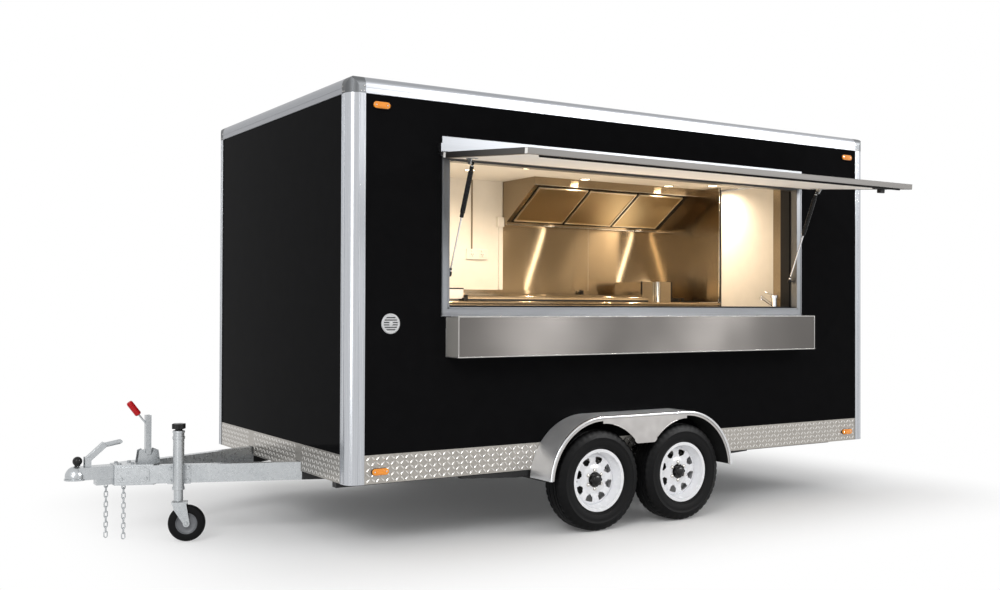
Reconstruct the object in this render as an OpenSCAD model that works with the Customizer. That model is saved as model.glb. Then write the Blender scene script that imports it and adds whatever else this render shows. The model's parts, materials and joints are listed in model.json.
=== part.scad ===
// Food trailer: a towed kitchen body on two axles with a lift-up serving hatch.
// Millimetres. X points to the tow coupling, Y to the serving side and Z up.
// Pieces are laid out with x = 0 at the body's front face, y = 0 on its centre
// line and z = 0 on the ground; place() then centres the outline on the origin.

/* [Body] */
// Length of the body over its front and rear posts
body_l = 4000; // [3900:10:4200]
// Width of the body over its side posts
body_w = 2100; // [2060:10:2160]
// Height of the body's lower edge above the ground
body_z = 362; // [356:2:368]
// Height of the roof above the ground
roof_z = 2495; // [2460:5:2560]
// Thickness of the sandwich panels in walls, floor and roof
panel_t = 40; // [36:1:42]
// How far posts and rails stand proud of the panels
proud = 5; // [4:1:6]
// Width of a corner post on each face
post_w = 94; // [90:1:100]
// Radius of a corner post's rounded edge
post_r = 55; // [45:1:60]
// Height and width of a roof rail
rail_w = 92; // [88:1:96]
// Radius of a roof rail's rounded edge
rail_r = 50; // [40:1:55]
// Height of the tread plate skirt
skirt_h = 151; // [140:1:160]
// Height of the ceiling above the ground
ceiling_z = 2270; // [2240:5:2300]

/* [Serving hatch] */
// Front edge of the hatch opening behind the front face
hatch_front = 595; // [580:5:640]
// Rear edge of the hatch opening behind the front face
hatch_rear = 3305; // [3200:5:3320]
// Sill height of the hatch opening
hatch_z0 = 1288; // [1280:1:1300]
// Top of the hatch opening
hatch_z1 = 2086; // [2070:1:2090]
// Height of the hatch's hinge line
hinge_z = 2116; // [2112:1:2120]
// Length of the hatch lid from its hinge line to its lower edge
lid_l = 838; // [830:1:842]
// Thickness of the hatch lid
lid_t = 32; // [28:1:32]
// How far the lid turns from shut to open
lid_open = 85; // [80:1:88]
// Depth of the counter below the hatch
counter_d = 132; // [120:2:150]
// Distance of the strut pins below the hinge line along the lid
strut_d = 170; // [160:5:180]

/* [Running gear] */
// Distance of the front axle behind the front face
axle_front = 1506; // [1480:2:1530]
// Distance between the two axles
axle_gap = 638; // [620:2:660]
// Tyre radius
tyre_r = 292; // [285:1:295]
// Tyre width
tyre_w = 168; // [160:1:170]
// Gap between a tyre and the body's side
tyre_gap = 10; // [8:1:14]
// Radius of the wheel rim's flange
rim_r = 179; // [176:1:182]
// Radius of the mudguard
guard_r = 370; // [360:2:374]
// How far the mudguards stand out from the body
guard_w = 200; // [195:1:205]

/* [Drawbar] */
// Height of the drawbar's underside above the ground
bar_z = 312; // [308:1:316]
// Height of the drawbar's box section
bar_h = 100; // [98:1:100]
// Width of the drawbar's box section
bar_w = 50; // [50:1:60]
// Angle of each arm from the centre line
bar_angle = 21; // [19:0.5:22]
// Reach of the coupling ahead of the front face
nose_x = 1180; // [1170:5:1200]
// Radius of the coupling's ball socket
ball_r = 25.3; // [25.1:0.1:25.6]

/* [Jockey wheel] */
// Position of the jockey stand ahead of the front face
jockey_x = 628; // [600:2:660]
// Radius of the jockey wheel
jockey_r = 100; // [90:1:105]
// Distance of the jockey wheel's axle behind its swivel
jockey_trail = 45; // [35:1:50]
// Angle at which the jockey wheel has come to rest
jockey_turn = -22; // [-40:1:0]

/* [Rear door] */
// Width of the rear door opening
door_w = 680; // [600:10:700]
// Top of the rear door opening above the ground
door_z1 = 2240; // [2100:10:2260]

/* [Hidden] */
$fn = 48;

// panel planes
side = body_w / 2;
face = side - proud;
lining = face - panel_t;
front_face = -proud;
front_lining = -proud - panel_t;
rear_face = -body_l + proud;
rear_lining = rear_face + panel_t;
bar_top = bar_z + bar_h;
floor_z = bar_top + panel_t;
wall_top = roof_z - rail_w;
roof_t = 45;
skirt_t = 3;

// hatch, in the plane across the trailer
frame_face = face + 13;
frame_edge = 47;
frame_lip = 12;
hinge_y = frame_face + 29.5;
lid_in = -24;
lid_over = 70;
strut_off = lid_in - 25;
jamb_pin = [lining + 10, 1470];
pin_shut = [hinge_y + strut_off, hinge_z - strut_d];
pin_open = [hinge_y + strut_off * cos(lid_open) + strut_d * sin(lid_open),
            hinge_z + strut_off * sin(lid_open) - strut_d * cos(lid_open)];
strut_l = norm(jamb_pin - pin_open);
strut_tilt = atan2(pin_open[0] - jamb_pin[0], jamb_pin[1] - pin_open[1]);
strut_in = 27;
tube_l = 300;

// running gear
axle_x = [-axle_front, -axle_front - axle_gap];
wheel_y = side + tyre_gap + tyre_w / 2;
guard_y = side + guard_w;

// drawbar
arm_x = 950;
arm_y = 22;
nose_plate = 930;
bar_stop = -10;
ball_x = nose_x - 58;
latch = [ball_x - 62, bar_top + 40];
brake = [737, bar_top + 30];

// jockey stand, clamped to the outside of the left arm
jockey_gap = 43;
jockey_face = arm_y + (arm_x - jockey_x + jockey_gap * sin(bar_angle)) * tan(bar_angle)
              + bar_w / 2 / cos(bar_angle);
jockey_y = jockey_face + jockey_gap * cos(bar_angle);

// outline used to centre the model
lid_reach = hinge_y + lid_l * sin(lid_open) + (lid_in + lid_t) * cos(lid_open);
lamp_t = 30;
mid_x = (nose_x + rear_face - lamp_t) / 2;
mid_y = (lid_reach - guard_y) / 2;

// ---- helpers -------------------------------------------------------------

// centres the laid-out trailer on the origin
module place() translate([-mid_x, -mid_y, 0]) children();

// box between its lowest and highest corner
module block(lo, hi) translate(lo) cube(hi - lo);

// round bars along each axis, from one end to the other
module bar_along(r, x0, x1, y, z) translate([x0, y, z]) rotate([0, 90, 0]) cylinder(r = r, h = x1 - x0);
module bar_across(r, x, y0, y1, z) translate([x, y0, z]) rotate([-90, 0, 0]) cylinder(r = r, h = y1 - y0);
module bar_up(r, x, y, z0, z1) translate([x, y, z0]) cylinder(r = r, h = z1 - z0);

// flat bar between two points of the centre plane, w wide across and t thick
module flat_bar(p, q, w, t)
    translate([p[0], 0, p[1]]) rotate([0, -atan2(q[1] - p[1], q[0] - p[0]), 0])
        block([0, -w / 2, -t / 2], [norm(q - p), w / 2, t / 2]);

// round bar between two points of the centre plane
module rod_bar(p, q, r)
    translate([p[0], 0, p[1]]) rotate([0, 90 - atan2(q[1] - p[1], q[0] - p[0]), 0])
        cylinder(r = r, h = norm(q - p));

// repeats a left-hand piece on the right
module both_sides() { children(); mirror([0, 1, 0]) children(); }

// an outline in X and Z pushed out along Y from y0 to y1
module sheet_xz(y0, y1) translate([0, y1, 0]) rotate([90, 0, 0]) linear_extrude(y1 - y0) children();

// an outline in Y and Z pushed out along X from x0 to x1
module sheet_yz(x0, x1) translate([x0, 0, 0]) rotate([90, 0, 90]) linear_extrude(x1 - x0) children();

// square with its far corner rounded
module round_corner(w, r) intersection() {
    square(w);
    union() {
        square([w, w - r]);
        square([w - r, w]);
        translate([w - r, w - r]) circle(r);
    }
}

// ---- chassis and running gear ---------------------------------------------

// one drawbar arm's centre line, from the coupling rearward
module arm_frame() translate([arm_x, arm_y, 0]) rotate([0, 0, 180 - bar_angle]) children();

module arm_box(l) arm_frame() block([0, -bar_w / 2, bar_z], [l, bar_w / 2, bar_top]);

module chassis_frame() {
    rail_y = side - 290;
    cross_z = bar_top - 40;
    cross_x = [35, 700, 1200, 1825, 2450, 3050, 3600, 3935];
    color("dimgray") place() {
        both_sides() block([rear_lining + 20, rail_y - bar_w / 2, bar_z],
                           [front_lining - 10, rail_y + bar_w / 2, bar_top]);
        for (x = cross_x) {
            reach = x < post_w || x > body_l - post_w ? side - post_w - 1 : face - 1;
            block([-x - 20, -reach, cross_z], [-x + 20, reach, bar_top]);
        }
        both_sides() intersection() {
            arm_box(2600);
            block([-1500, 0, 0], [bar_stop, rail_y, roof_z]);
        }
    }
}

module drawbar() {
    plate_x = 740;
    cheek = 28;
    color("silver") place() {
        both_sides() difference() {
            arm_box(1150);
            block([-400, -200, 0], [bar_stop, side, roof_z]);
            block([nose_plate, -200, 0], [nose_x, 200, roof_z]);
            block([0, -200, 0], [nose_x, 0, roof_z]);
        }
        block([nose_plate - 60, -50, bar_z], [nose_plate, 50, bar_top]);
        // plates that tie the two arms behind the coupling
        for (z = [bar_z - 6, bar_top])
            translate([0, 0, z]) linear_extrude(6)
                polygon([[nose_plate, -52], [nose_plate, 52], [plate_x, 128], [plate_x - 60, 60],
                         [plate_x - 60, -60], [plate_x, -128]]);
        // cheeks and pin of the handbrake
        for (y = [-cheek, cheek - 5])
            sheet_xz(y, y + 5)
                polygon([[brake[0] - 62, bar_top + 5], [brake[0] + 62, bar_top + 5],
                         [brake[0] + 52, brake[1] + 42], [brake[0] + 30, brake[1] + 50],
                         [brake[0] + 12, brake[1] + 14], [brake[0] - 12, brake[1] + 14],
                         [brake[0] - 30, brake[1] + 50], [brake[0] - 52, brake[1] + 42]]);
        bar_across(6, brake[0], -cheek - 4, cheek + 4, brake[1]);
    }
}

module axles() {
    tube = 60;
    tube_y = side - 65;
    tube_x = 130;
    color("dimgray") place() for (x = axle_x) {
        block([x + tube_x - tube / 2, -tube_y, bar_z - tube], [x + tube_x + tube / 2, tube_y, bar_z]);
        both_sides() {
            block([x - 30, tube_y, tyre_r - 24], [x + tube_x + 30, tube_y + 40, tyre_r + 20]);
            bar_across(30, x, tube_y + 39, side + 1, tyre_r);
            bar_across(100, x, side + 1, side + 6, tyre_r);
            bar_across(15, x, side + 5, wheel_y + 16, tyre_r);
        }
    }
}

// a wheel part turned about its own axle, with local z pointing outward
module at_wheel(i) {
    x = axle_x[floor(i / 2)];
    left = i % 2 == 0;
    place() mirror([0, left ? 0 : 1, 0]) translate([x, wheel_y, tyre_r]) rotate([-90, 0, 0]) children();
}

module tyre() color("#1b1b1c") rotate_extrude() {
    half = tyre_w / 2;
    outer = [[166, half - 24], [rim_r + 0.5, half - 22], [rim_r + 5, half - 14], [198, half - 5],
             [226, half], [256, half - 4], [276, half - 12], [288, half - 24], [tyre_r, half - 40]];
    inner = [for (i = [len(outer) - 1 : -1 : 0]) [outer[i][0], -outer[i][1]]];
    polygon(concat(outer, inner));
}

module rim() color("white") difference() {
    union() {
        rotate_extrude() polygon([[rim_r, -70], [rim_r, -65], [166, -64], [165, -40], [150, -25],
                                  [150, 15], [165, 35], [166, 64], [rim_r, 65], [rim_r, 70],
                                  [161, 70], [161, 37], [146, 17], [146, -27], [161, -42], [161, -70]]);
        translate([0, 0, 16]) cylinder(r = 150.5, h = 6);
        translate([0, 0, -82]) cylinder(r = 100, h = 52);
        translate([0, 0, -40]) cylinder(r = 55, h = 66);
        translate([0, 0, 25]) cylinder(r = 34, h = 32);
    }
    translate([0, 0, -90]) cylinder(r = 15.1, h = 112);
    for (a = [0 : 45 : 359]) rotate([0, 0, a]) translate([118, 0, 5]) cylinder(r = 14, h = 30);
}

module tyre_front_left() at_wheel(0) tyre();
module tyre_front_right() at_wheel(1) tyre();
module tyre_rear_left() at_wheel(2) tyre();
module tyre_rear_right() at_wheel(3) tyre();
module rim_front_left() at_wheel(0) rim();
module rim_front_right() at_wheel(1) rim();
module rim_rear_left() at_wheel(2) rim();
module rim_rear_right() at_wheel(3) rim();

module mudguards() {
    mid = (axle_x[0] + axle_x[1]) / 2;
    hem = 25;
    tip = [57, 28];
    // outline that wraps both wheels at a given radius
    module wrap(r) {
        for (x = axle_x) translate([x, tyre_r]) circle(r);
        translate([axle_x[1], tyre_r - r]) square([axle_gap, 2 * r]);
    }
    module below() translate([axle_x[1] - 500, -200]) square([axle_gap + 1000, tyre_r + 226]);
    color("silver") place() both_sides() {
        sheet_xz(side - 2, guard_y) difference() {
            wrap(guard_r);
            wrap(guard_r - 4);
            below();
        }
        sheet_xz(guard_y - 4, guard_y) difference() {
            wrap(guard_r - 2);
            wrap(guard_r - hem);
            below();
        }
        // pointed panel that fills the space between the wheels
        sheet_xz(guard_y - 4, guard_y) {
            difference() {
                translate([axle_x[1], tyre_r + 229]) square([axle_gap, guard_r - 231]);
                for (x = axle_x) translate([x, tyre_r + 8]) circle(322);
            }
            translate([mid - tip[0], tyre_r + 201]) square([2 * tip[0], tip[1] + 1]);
            for (s = [-1, 1]) translate([mid + s * tip[0], tyre_r + 229]) circle(tip[1]);
        }
    }
}

// ---- body shell -----------------------------------------------------------

module floor_panel() color("gray") place()
    block([rear_lining, -lining, bar_top], [front_lining, lining, floor_z]);

module front_wall() color("#141415") place()
    block([front_lining, -side + post_w, bar_top], [front_face, side - post_w, wall_top]);

module rear_wall() color("#141415") place() difference() {
    block([rear_face, -side + post_w, bar_top], [rear_lining, side - post_w, wall_top]);
    block([rear_face - 10, -door_w / 2 - frame_lip, floor_z - 5],
          [rear_lining + 10, door_w / 2 + frame_lip, door_z1 + frame_lip]);
}

module left_wall() color("#141415") place() difference() {
    block([-body_l + post_w, lining, bar_top], [-post_w, face, wall_top]);
    block([-hatch_rear - frame_lip, lining - 10, hatch_z0 - frame_lip],
          [-hatch_front + frame_lip, face + 10, hatch_z1 + frame_lip]);
}

module right_wall() color("#141415") place()
    block([-body_l + post_w, -face, bar_top], [-post_w, -lining, wall_top]);

// roof panel above and ceiling lining below, with the wiring gap between them
module roof() {
    ceiling_t = 20;
    color("gainsboro") place() {
        block([-body_l + post_w, -side + post_w, wall_top + 42],
              [-post_w, side - post_w, wall_top + 42 + roof_t]);
        block([rear_lining, -lining, ceiling_z], [front_lining, lining, ceiling_z + ceiling_t]);
    }
}

// repeats the front left corner at all four corners
module four_corners() {
    both_sides() {
        children();
        translate([-body_l, 0, 0]) mirror([1, 0, 0]) children();
    }
}

module corner_posts() color("silver") place() four_corners()
    translate([-post_w, side - post_w, body_z]) linear_extrude(wall_top - body_z) difference() {
        round_corner(post_w, post_r);
        translate([-1, -1]) square(post_w - proud - panel_t + 1);
    }

// rail section: rounded outside, open inside for the wall and roof panels
module rail_section() difference() {
    round_corner(rail_w, rail_r);
    translate([-1, -1]) square([rail_w - proud - panel_t + 1, 43]);
}

module roof_rails() color("gainsboro") place() {
    both_sides() translate([0, side - rail_w, wall_top]) sheet_yz(-body_l + post_w, -post_w) rail_section();
    for (end = [0, 1]) translate([-end * body_l, 0, 0]) mirror([end, 0, 0])
        translate([-rail_w, 0, wall_top]) sheet_xz(-side + post_w, side - post_w) rail_section();
}

module corner_caps() color("gray") place() four_corners() difference() {
    intersection() {
        translate([-post_w, side - post_w, wall_top]) linear_extrude(rail_w) round_corner(post_w, post_r);
        translate([0, side - post_w, roof_z - post_w]) sheet_yz(-post_w, 0) round_corner(post_w, rail_r);
        translate([-post_w, 0, roof_z - post_w]) sheet_xz(side - post_w, side) round_corner(post_w, rail_r);
    }
    block([-post_w - 1, side - post_w - 1, wall_top - 1], [front_lining, lining, wall_top + 42]);
}

module skirt_plates() {
    top = body_z + skirt_h;
    notch_y = arm_y + arm_x * tan(bar_angle);
    notch_w = bar_w / cos(bar_angle) / 2 + 6;
    color("darkgray") place() {
        both_sides() block([-body_l + post_w, face, body_z], [-post_w, face + skirt_t, top]);
        difference() {
            block([front_face, -side + post_w, body_z], [front_face + skirt_t, side - post_w, top]);
            both_sides() block([front_face - 1, notch_y - notch_w, body_z - 1],
                               [front_face + skirt_t + 1, notch_y + notch_w, bar_top + 2]);
        }
        both_sides() block([rear_face - skirt_t, door_w / 2 + 45, body_z], [rear_face, side - post_w, top]);
    }
}

module marker_lamps() {
    high = 2348;
    low = 424;
    color("orange") place() both_sides() for (x = [185, body_l - 185], z = [low, high])
        translate([-x, z == low ? face + skirt_t : face, z]) rotate([-90, 0, 0]) linear_extrude(16) {
            square([62, 38], center = true);
            for (s = [-1, 1]) translate([31 * s, 0]) circle(19);
        }
}

module tail_lamps() color("firebrick") place() both_sides()
    block([rear_face - lamp_t, 790, 560], [rear_face, 930, 760]);

module number_plate() color("white") place()
    block([rear_face - 12, 440, 560], [rear_face, 740, 720]);

// ---- serving side ---------------------------------------------------------

module hatch_frame() {
    x0 = -hatch_rear;
    x1 = -hatch_front;
    rail_x0 = x0 - lid_over + 5;
    rail_x1 = x1 + lid_over - 5;
    z_top = hatch_z1 + 130;
    stud = 17;
    color("gainsboro") place() {
        difference() {
            union() {
                block([x0 - frame_edge, face, hatch_z0 - 50], [x1 + frame_edge, frame_face, z_top]);
                block([x0 - frame_lip, lining - 10, hatch_z0 - frame_lip],
                      [x1 + frame_lip, face + 1, hatch_z1 + frame_lip]);
                // stepped hinge rail
                block([rail_x0, face, hinge_z + 22], [rail_x1, frame_face + 18, z_top - 40]);
                block([rail_x0, frame_face - 1, hinge_z - 6], [rail_x1, hinge_y - 11, hinge_z + 30]);
                bar_along(14, rail_x0, rail_x1, hinge_y, hinge_z);
            }
            block([x0, lining - 20, hatch_z0], [x1, frame_face + 10, hatch_z1]);
            // the lid's bead turns in this groove, which is open outward and down
            bar_along(9, x0 - lid_over, x1 + lid_over, hinge_y, hinge_z);
            translate([0, hinge_y, hinge_z]) sheet_yz(x0 - lid_over, x1 + lid_over)
                polygon([[0, 0], [40 * cos(25), 40 * sin(25)], [40, -40], [-24, -40]]);
        }
        // studs for the strut eyes
        for (s = [[x1, -1], [x0, 1]])
            translate([s[0], jamb_pin[0], jamb_pin[1]]) rotate([0, s[1] * 90, 0]) cylinder(r = 4, h = stud);
    }
}

module serving_counter() color("silver") place()
    block([-hatch_rear - 37, face, 1015], [-hatch_front + 15, side + counter_d, 1238]);

// turns the shut lid about its hinge line to where it stands open
module at_hatch() place() translate([0, hinge_y, hinge_z]) rotate([lid_open, 0, 0]) children();

module serving_hatch() {
    x0 = -hatch_rear - lid_over;
    x1 = -hatch_front + lid_over;
    color("white") at_hatch() {
        block([x0, lid_in, -lid_l], [x1, lid_in + lid_t, -18]);
        bar_along(8, x0 + 10, x1 - 10, 0, 0);
        block([x0 + 10, -2.5, -19], [x1 - 10, 2.5, -6]);
        // bracket and pin for each strut
        for (s = [[-hatch_front, -1], [-hatch_rear, 1]]) {
            ear = s[0] + s[1] * 8;
            pin_end = s[0] + s[1] * 35;
            block([ear - 2.5, strut_off - 8, -strut_d - 20],
                  [ear + 2.5, lid_in + 1, -strut_d + 20]);
            bar_along(4, min(ear, pin_end), max(ear, pin_end), strut_off, -strut_d);
        }
    }
}

// local z runs from the lid's pin to the jamb's pin
module at_strut(end) {
    x = end == 0 ? -hatch_front - strut_in : -hatch_rear + strut_in;
    place() translate([x, pin_open[0], pin_open[1]]) rotate([strut_tilt, 0, 0]) children();
}

module strut_tube(end) color("#202020") at_strut(end) difference() {
    union() {
        bar_along(9, -5, 5, 0, 0);
        cylinder(r = 5, h = 20);
        translate([0, 0, 16]) cylinder(r = 11, h = tube_l - 16);
    }
    bar_along(4.1, -6, 6, 0, 0);
    translate([0, 0, 24]) cylinder(r = 6, h = tube_l);
}

module strut_rod(end) color("silver") at_strut(end) {
    translate([0, 0, tube_l - 26]) cylinder(r = 5, h = strut_l - tube_l + 16);
    translate([0, 0, strut_l - 26]) cylinder(r = 8, h = 34);
}

module strut_tube_front() strut_tube(0);
module strut_tube_rear() strut_tube(1);
module strut_rod_front() strut_rod(0);
module strut_rod_rear() strut_rod(1);

// ---- rear door ------------------------------------------------------------

door_hinge = [rear_face - 13, -door_w / 2 - 5];
door_knuckles = [700, 1300, 1980];

module door_frame() color("gainsboro") place() {
    difference() {
        union() {
            block([rear_face - proud, -door_w / 2 - 45, floor_z - 5],
                  [rear_face, door_w / 2 + 45, door_z1 + 45]);
            block([rear_face - 1, -door_w / 2 - frame_lip, floor_z - 5],
                  [rear_lining, door_w / 2 + frame_lip, door_z1 + frame_lip]);
        }
        block([rear_face - 20, -door_w / 2, floor_z + 8], [rear_lining + 10, door_w / 2, door_z1]);
    }
    for (z = door_knuckles) {
        bar_up(7, door_hinge[0], door_hinge[1], z, z + 40);
        bar_up(3, door_hinge[0], door_hinge[1], z + 39, z + 76);
        block([rear_face - 11, door_hinge[1] - 36, z],
              [rear_face - proud + 1, door_hinge[1], z + 40]);
    }
}

module rear_door() color("#141415") place() {
    edge = 5;
    block([rear_face, -door_w / 2 + edge, floor_z + 8 + edge],
          [rear_lining, door_w / 2 - edge, door_z1 - edge]);
    difference() {
        for (z = door_knuckles) {
            bar_up(7, door_hinge[0], door_hinge[1], z + 41, z + 78);
            block([door_hinge[0], door_hinge[1] + 1, z + 41],
                  [rear_face - proud - 1, door_hinge[1] + 50, z + 78]);
            block([rear_face - proud - 2, -door_w / 2 + edge, z + 41],
                  [rear_face + 1, door_hinge[1] + 50, z + 78]);
        }
        bar_up(3.1, door_hinge[0], door_hinge[1], 600, door_z1);
    }
    // lever handle
    bar_along(9, rear_face - 26, rear_face + 1, 270, 1230);
    block([rear_face - 30, 170, 1220], [rear_face - 20, 282, 1240]);
}

// ---- coupling, brake and jockey wheel -------------------------------------

module coupling_head() {
    socket_z = bar_z + 62;
    low = bar_z + 34;
    lug = 20;
    color("silver") place() difference() {
        union() {
            intersection() {
                translate([ball_x, 0, socket_z - 8]) sphere(r = 54);
                block([ball_x - 80, -80, low], [nose_x, 80, bar_top + 10]);
            }
            bar_up(58, ball_x, 0, low, low + 8);
            block([nose_plate, -43, low], [ball_x - 8, 43, bar_top + 2]);
            block([nose_plate, -36, bar_z], [nose_plate + 90, 36, low + 1]);
            // lugs of the latch and the release knob
            for (y = [-lug - 5, lug])
                block([latch[0] - 16, y, bar_top], [latch[0] + 16, y + 5, latch[1] + 14]);
            bar_across(5, latch[0], -lug - 6, lug + 6, latch[1]);
            bar_up(9, ball_x - 10, 0, bar_top, bar_top + 16);
            translate([ball_x - 10, 0, bar_top + 30]) sphere(r = 20);
        }
        bar_up(ball_r, ball_x, 0, low - 1, socket_z);
        translate([ball_x, 0, socket_z]) sphere(r = ball_r);
    }
}

module coupling_lever() {
    elbow = [latch[0] - 82, latch[1] + 72];
    tip = [elbow[0] - 92, elbow[1] + 16];
    color("silver") place() difference() {
        union() {
            bar_across(11, latch[0], -15, 15, latch[1]);
            flat_bar(latch, elbow, 28, 12);
            flat_bar(elbow + [6, -2], tip, 24, 14);
            bar_across(9, tip[0], -14, 14, tip[1]);
        }
        bar_across(5.1, latch[0], -20, 20, latch[1]);
    }
}

module handbrake_lever() {
    top = brake[1] + 236;
    grip0 = [brake[0] + 56, top + 10];
    grip1 = [brake[0] + 104, top + 74];
    color("silver") place() difference() {
        union() {
            bar_across(14, brake[0], -18, 18, brake[1]);
            block([brake[0] - 15, -18, brake[1]], [brake[0] + 15, 18, top]);
            rod_bar([brake[0] + 8, top - 50], grip0, 5);
            rod_bar(grip0 - [4, 5], grip1, 14);
        }
        block([brake[0] - 20, -14, brake[1] + 30], [brake[0] + 8, 14, top + 5]);
        bar_across(6.1, brake[0], -30, 30, brake[1]);
    }
}

module jockey_stand() {
    low = 285;
    top = 600;
    color("silver") place() {
        bar_up(30, jockey_x, jockey_y, low, top);
        bar_up(25, jockey_x, jockey_y, 2 * jockey_r + 22, low + 1);
        bar_up(10, jockey_x, jockey_y, 2 * jockey_r + 5, 2 * jockey_r + 23);
        bar_up(18, jockey_x, jockey_y, top - 1, top + 18);
        bar_up(32, jockey_x, jockey_y, top + 17, top + 40);
        // clamp plate on the arm and the saddle that holds the tube
        translate([jockey_x, jockey_y, 0]) rotate([0, 0, -bar_angle]) {
            block([-62, -jockey_gap, bar_z - 4], [62, -jockey_gap + 8, bar_top + 4]);
            block([-26, -jockey_gap + 7, bar_z + 10], [26, 0, bar_top - 10]);
        }
    }
}

// local frame of the swivelling fork: origin on the ground below the swivel
module at_jockey() place() translate([jockey_x, jockey_y, 0]) rotate([0, 0, jockey_turn]) children();

module jockey_fork() {
    plate_z = 2 * jockey_r + 8;
    leg = 34;
    color("silver") at_jockey() difference() {
        union() {
            block([-48, -leg, plate_z], [34, leg, plate_z + 10]);
            for (y = [-leg, leg - 5]) sheet_xz(y, y + 5) {
                polygon([[-44, plate_z + 5], [30, plate_z + 5], [22, plate_z - 30],
                         [-jockey_trail + 16, jockey_r], [-jockey_trail - 18, jockey_r]]);
                translate([-jockey_trail, jockey_r]) circle(18);
            }
            bar_across(6, -jockey_trail, -leg - 6, leg + 6, jockey_r);
        }
        bar_up(10.1, 0, 0, plate_z - 10, plate_z + 20);
    }
}

module jockey_wheel() color("#1d1d1e") at_jockey()
    translate([-jockey_trail, 0, jockey_r]) rotate([-90, 0, 0]) rotate_extrude()
        polygon([[6.1, -23], [24, -23], [24, -14], [56, -14], [58, -22], [88, -23], [97, -17],
                 [jockey_r, -8], [jockey_r, 8], [97, 17], [88, 23], [58, 22], [56, 14],
                 [24, 14], [24, 23], [6.1, 23]]);

// chain link standing upright: two straight sides joined by half rings
module link(d, inner_l, inner_w) {
    r = (inner_w + d) / 2;
    straight = inner_l - inner_w;
    for (s = [0, 180]) rotate([0, s, 0]) {
        translate([0, 0, straight / 2]) rotate([90, 0, 0])
            rotate_extrude(angle = 180) translate([r, 0]) circle(d / 2);
        translate([r, 0, -straight / 2]) cylinder(r = d / 2, h = straight);
    }
}

module safety_chains() {
    wire = 6;
    inner_l = 28;
    pitch = inner_l - 0.4;
    links = 10;
    color("darkgray") place() for (c = [[955, -30, bar_z], [875, 30, bar_z - 6]]) {
        top = c[2];
        // eye plate under the drawbar
        block([c[0] - 16, c[1] - 5, top - 6], [c[0] + 16, c[1] + 5, top]);
        translate([c[0], c[1], top - 15]) link(wire, 14, 12);
        for (i = [0 : links - 1])
            translate([c[0], c[1], top - 33.6 - i * pitch]) rotate([0, 0, i % 2 == 0 ? 90 : 0])
                link(wire, inner_l, 12);
    }
}

// ---- kitchen --------------------------------------------------------------

bench_z = 1330;
bench_front = -lining + 650;
bench_x0 = rear_lining + 2;
bench_x1 = -1300;
serve_z = 1250;
serve_back = lining - 12;
serve_front = serve_back - 450;
sink = [[-3420, serve_front + 60, serve_z - 160], [-3020, serve_front + 340, serve_z]];
drain = (sink[0] + sink[1]) / 2;

// table frame: legs in two rows with a shelf between them
module bench_legs(x0, x1, y0, y1, top, bays) {
    leg = 38;
    shelf_z = floor_z + 180;
    for (i = [0 : bays], y = [y0 + 20, y1 - 20 - leg]) {
        x = x0 + 20 + i * (x1 - x0 - 40 - leg) / bays;
        block([x, y, floor_z], [x + leg, y + leg, top]);
    }
    block([x0 + 20, y0 + 20, shelf_z], [x1 - 20, y1 - 20, shelf_z + 20]);
}

module cooking_bench() color("silver") place() {
    block([bench_x0, -lining + 2, bench_z - 40], [bench_x1, bench_front, bench_z]);
    block([bench_x0, -lining + 2, bench_z - 1], [bench_x1, -lining + 14, bench_z + 92]);
    bench_legs(bench_x0, bench_x1, -lining + 2, bench_front, bench_z - 39, 3);
}

module serving_bench() color("silver") place() difference() {
    union() {
        block([-3640, serve_front, serve_z - 30], [-600, serve_back, serve_z]);
        bench_legs(-3640, -600, serve_front, serve_back, serve_z - 29, 3);
        block(sink[0] - [3, 3, 3], sink[1] + [3, 3, 0]);
    }
    block(sink[0], sink[1] + [0, 0, 10]);
    bar_up(25, drain[0], drain[1], sink[0][2] - 10, sink[0][2] + 1);
}

module mixer_tap() {
    x = -3220;
    y = serve_back - 58;
    color("silver") place() {
        bar_up(27, x, y, serve_z, serve_z + 6);
        bar_up(17, x, y, serve_z + 5, serve_z + 112);
        bar_up(24, x, y, serve_z + 108, serve_z + 124);
        translate([x, y, serve_z + 50]) rotate([62, 0, 0]) cylinder(r = 10, h = 140);
        translate([x, y, serve_z + 50]) rotate([62, 0, 0]) translate([0, 0, 132]) rotate([-62, 0, 0])
            translate([0, 0, -20]) cylinder(r = 11, h = 26);
    }
}

module griddle() {
    front = bench_front - 4;
    color("dimgray") place() {
        block([-3200, -880, bench_z], [-1560, front, bench_z + 24]);
        // plate with a raised rim at back and sides, and a rolled front rail
        block([-3200, -880, bench_z + 23], [-1560, -868, bench_z + 60]);
        for (x = [-3200, -1572]) block([x, -880, bench_z + 23], [x + 12, front - 60, bench_z + 60]);
        bar_along(12, -3200, -1560, front - 12, bench_z + 28);
    }
}

module fryer() color("silver") place() difference() {
    union() {
        block([-3600, -880, bench_z], [-3280, -540, bench_z + 165]);
        bar_up(22, -3440, -528, bench_z, bench_z + 165);
    }
    block([-3580, -860, bench_z + 40], [-3300, -600, bench_z + 200]);
}

module gas_burner() color("#202020") place() {
    block([-3920, -900, bench_z], [-3650, -560, bench_z + 12]);
    bar_up(48, -3785, -730, bench_z + 11, bench_z + 24);
    for (a = [0, 90]) translate([-3785, -730, bench_z + 28]) rotate([0, 0, a])
        block([-120, -5, 0], [120, 5, 10]);
    for (x = [-3900, -3682]) block([x, -735, bench_z + 11], [x + 12, -725, bench_z + 30]);
    for (y = [-850, -622]) block([-3790, y, bench_z + 11], [-3780, y + 12, bench_z + 30]);
}

module induction_hob() color("white") place()
    block([-1540, -860, bench_z], [-1330, bench_front - 30, bench_z + 92]);

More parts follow.
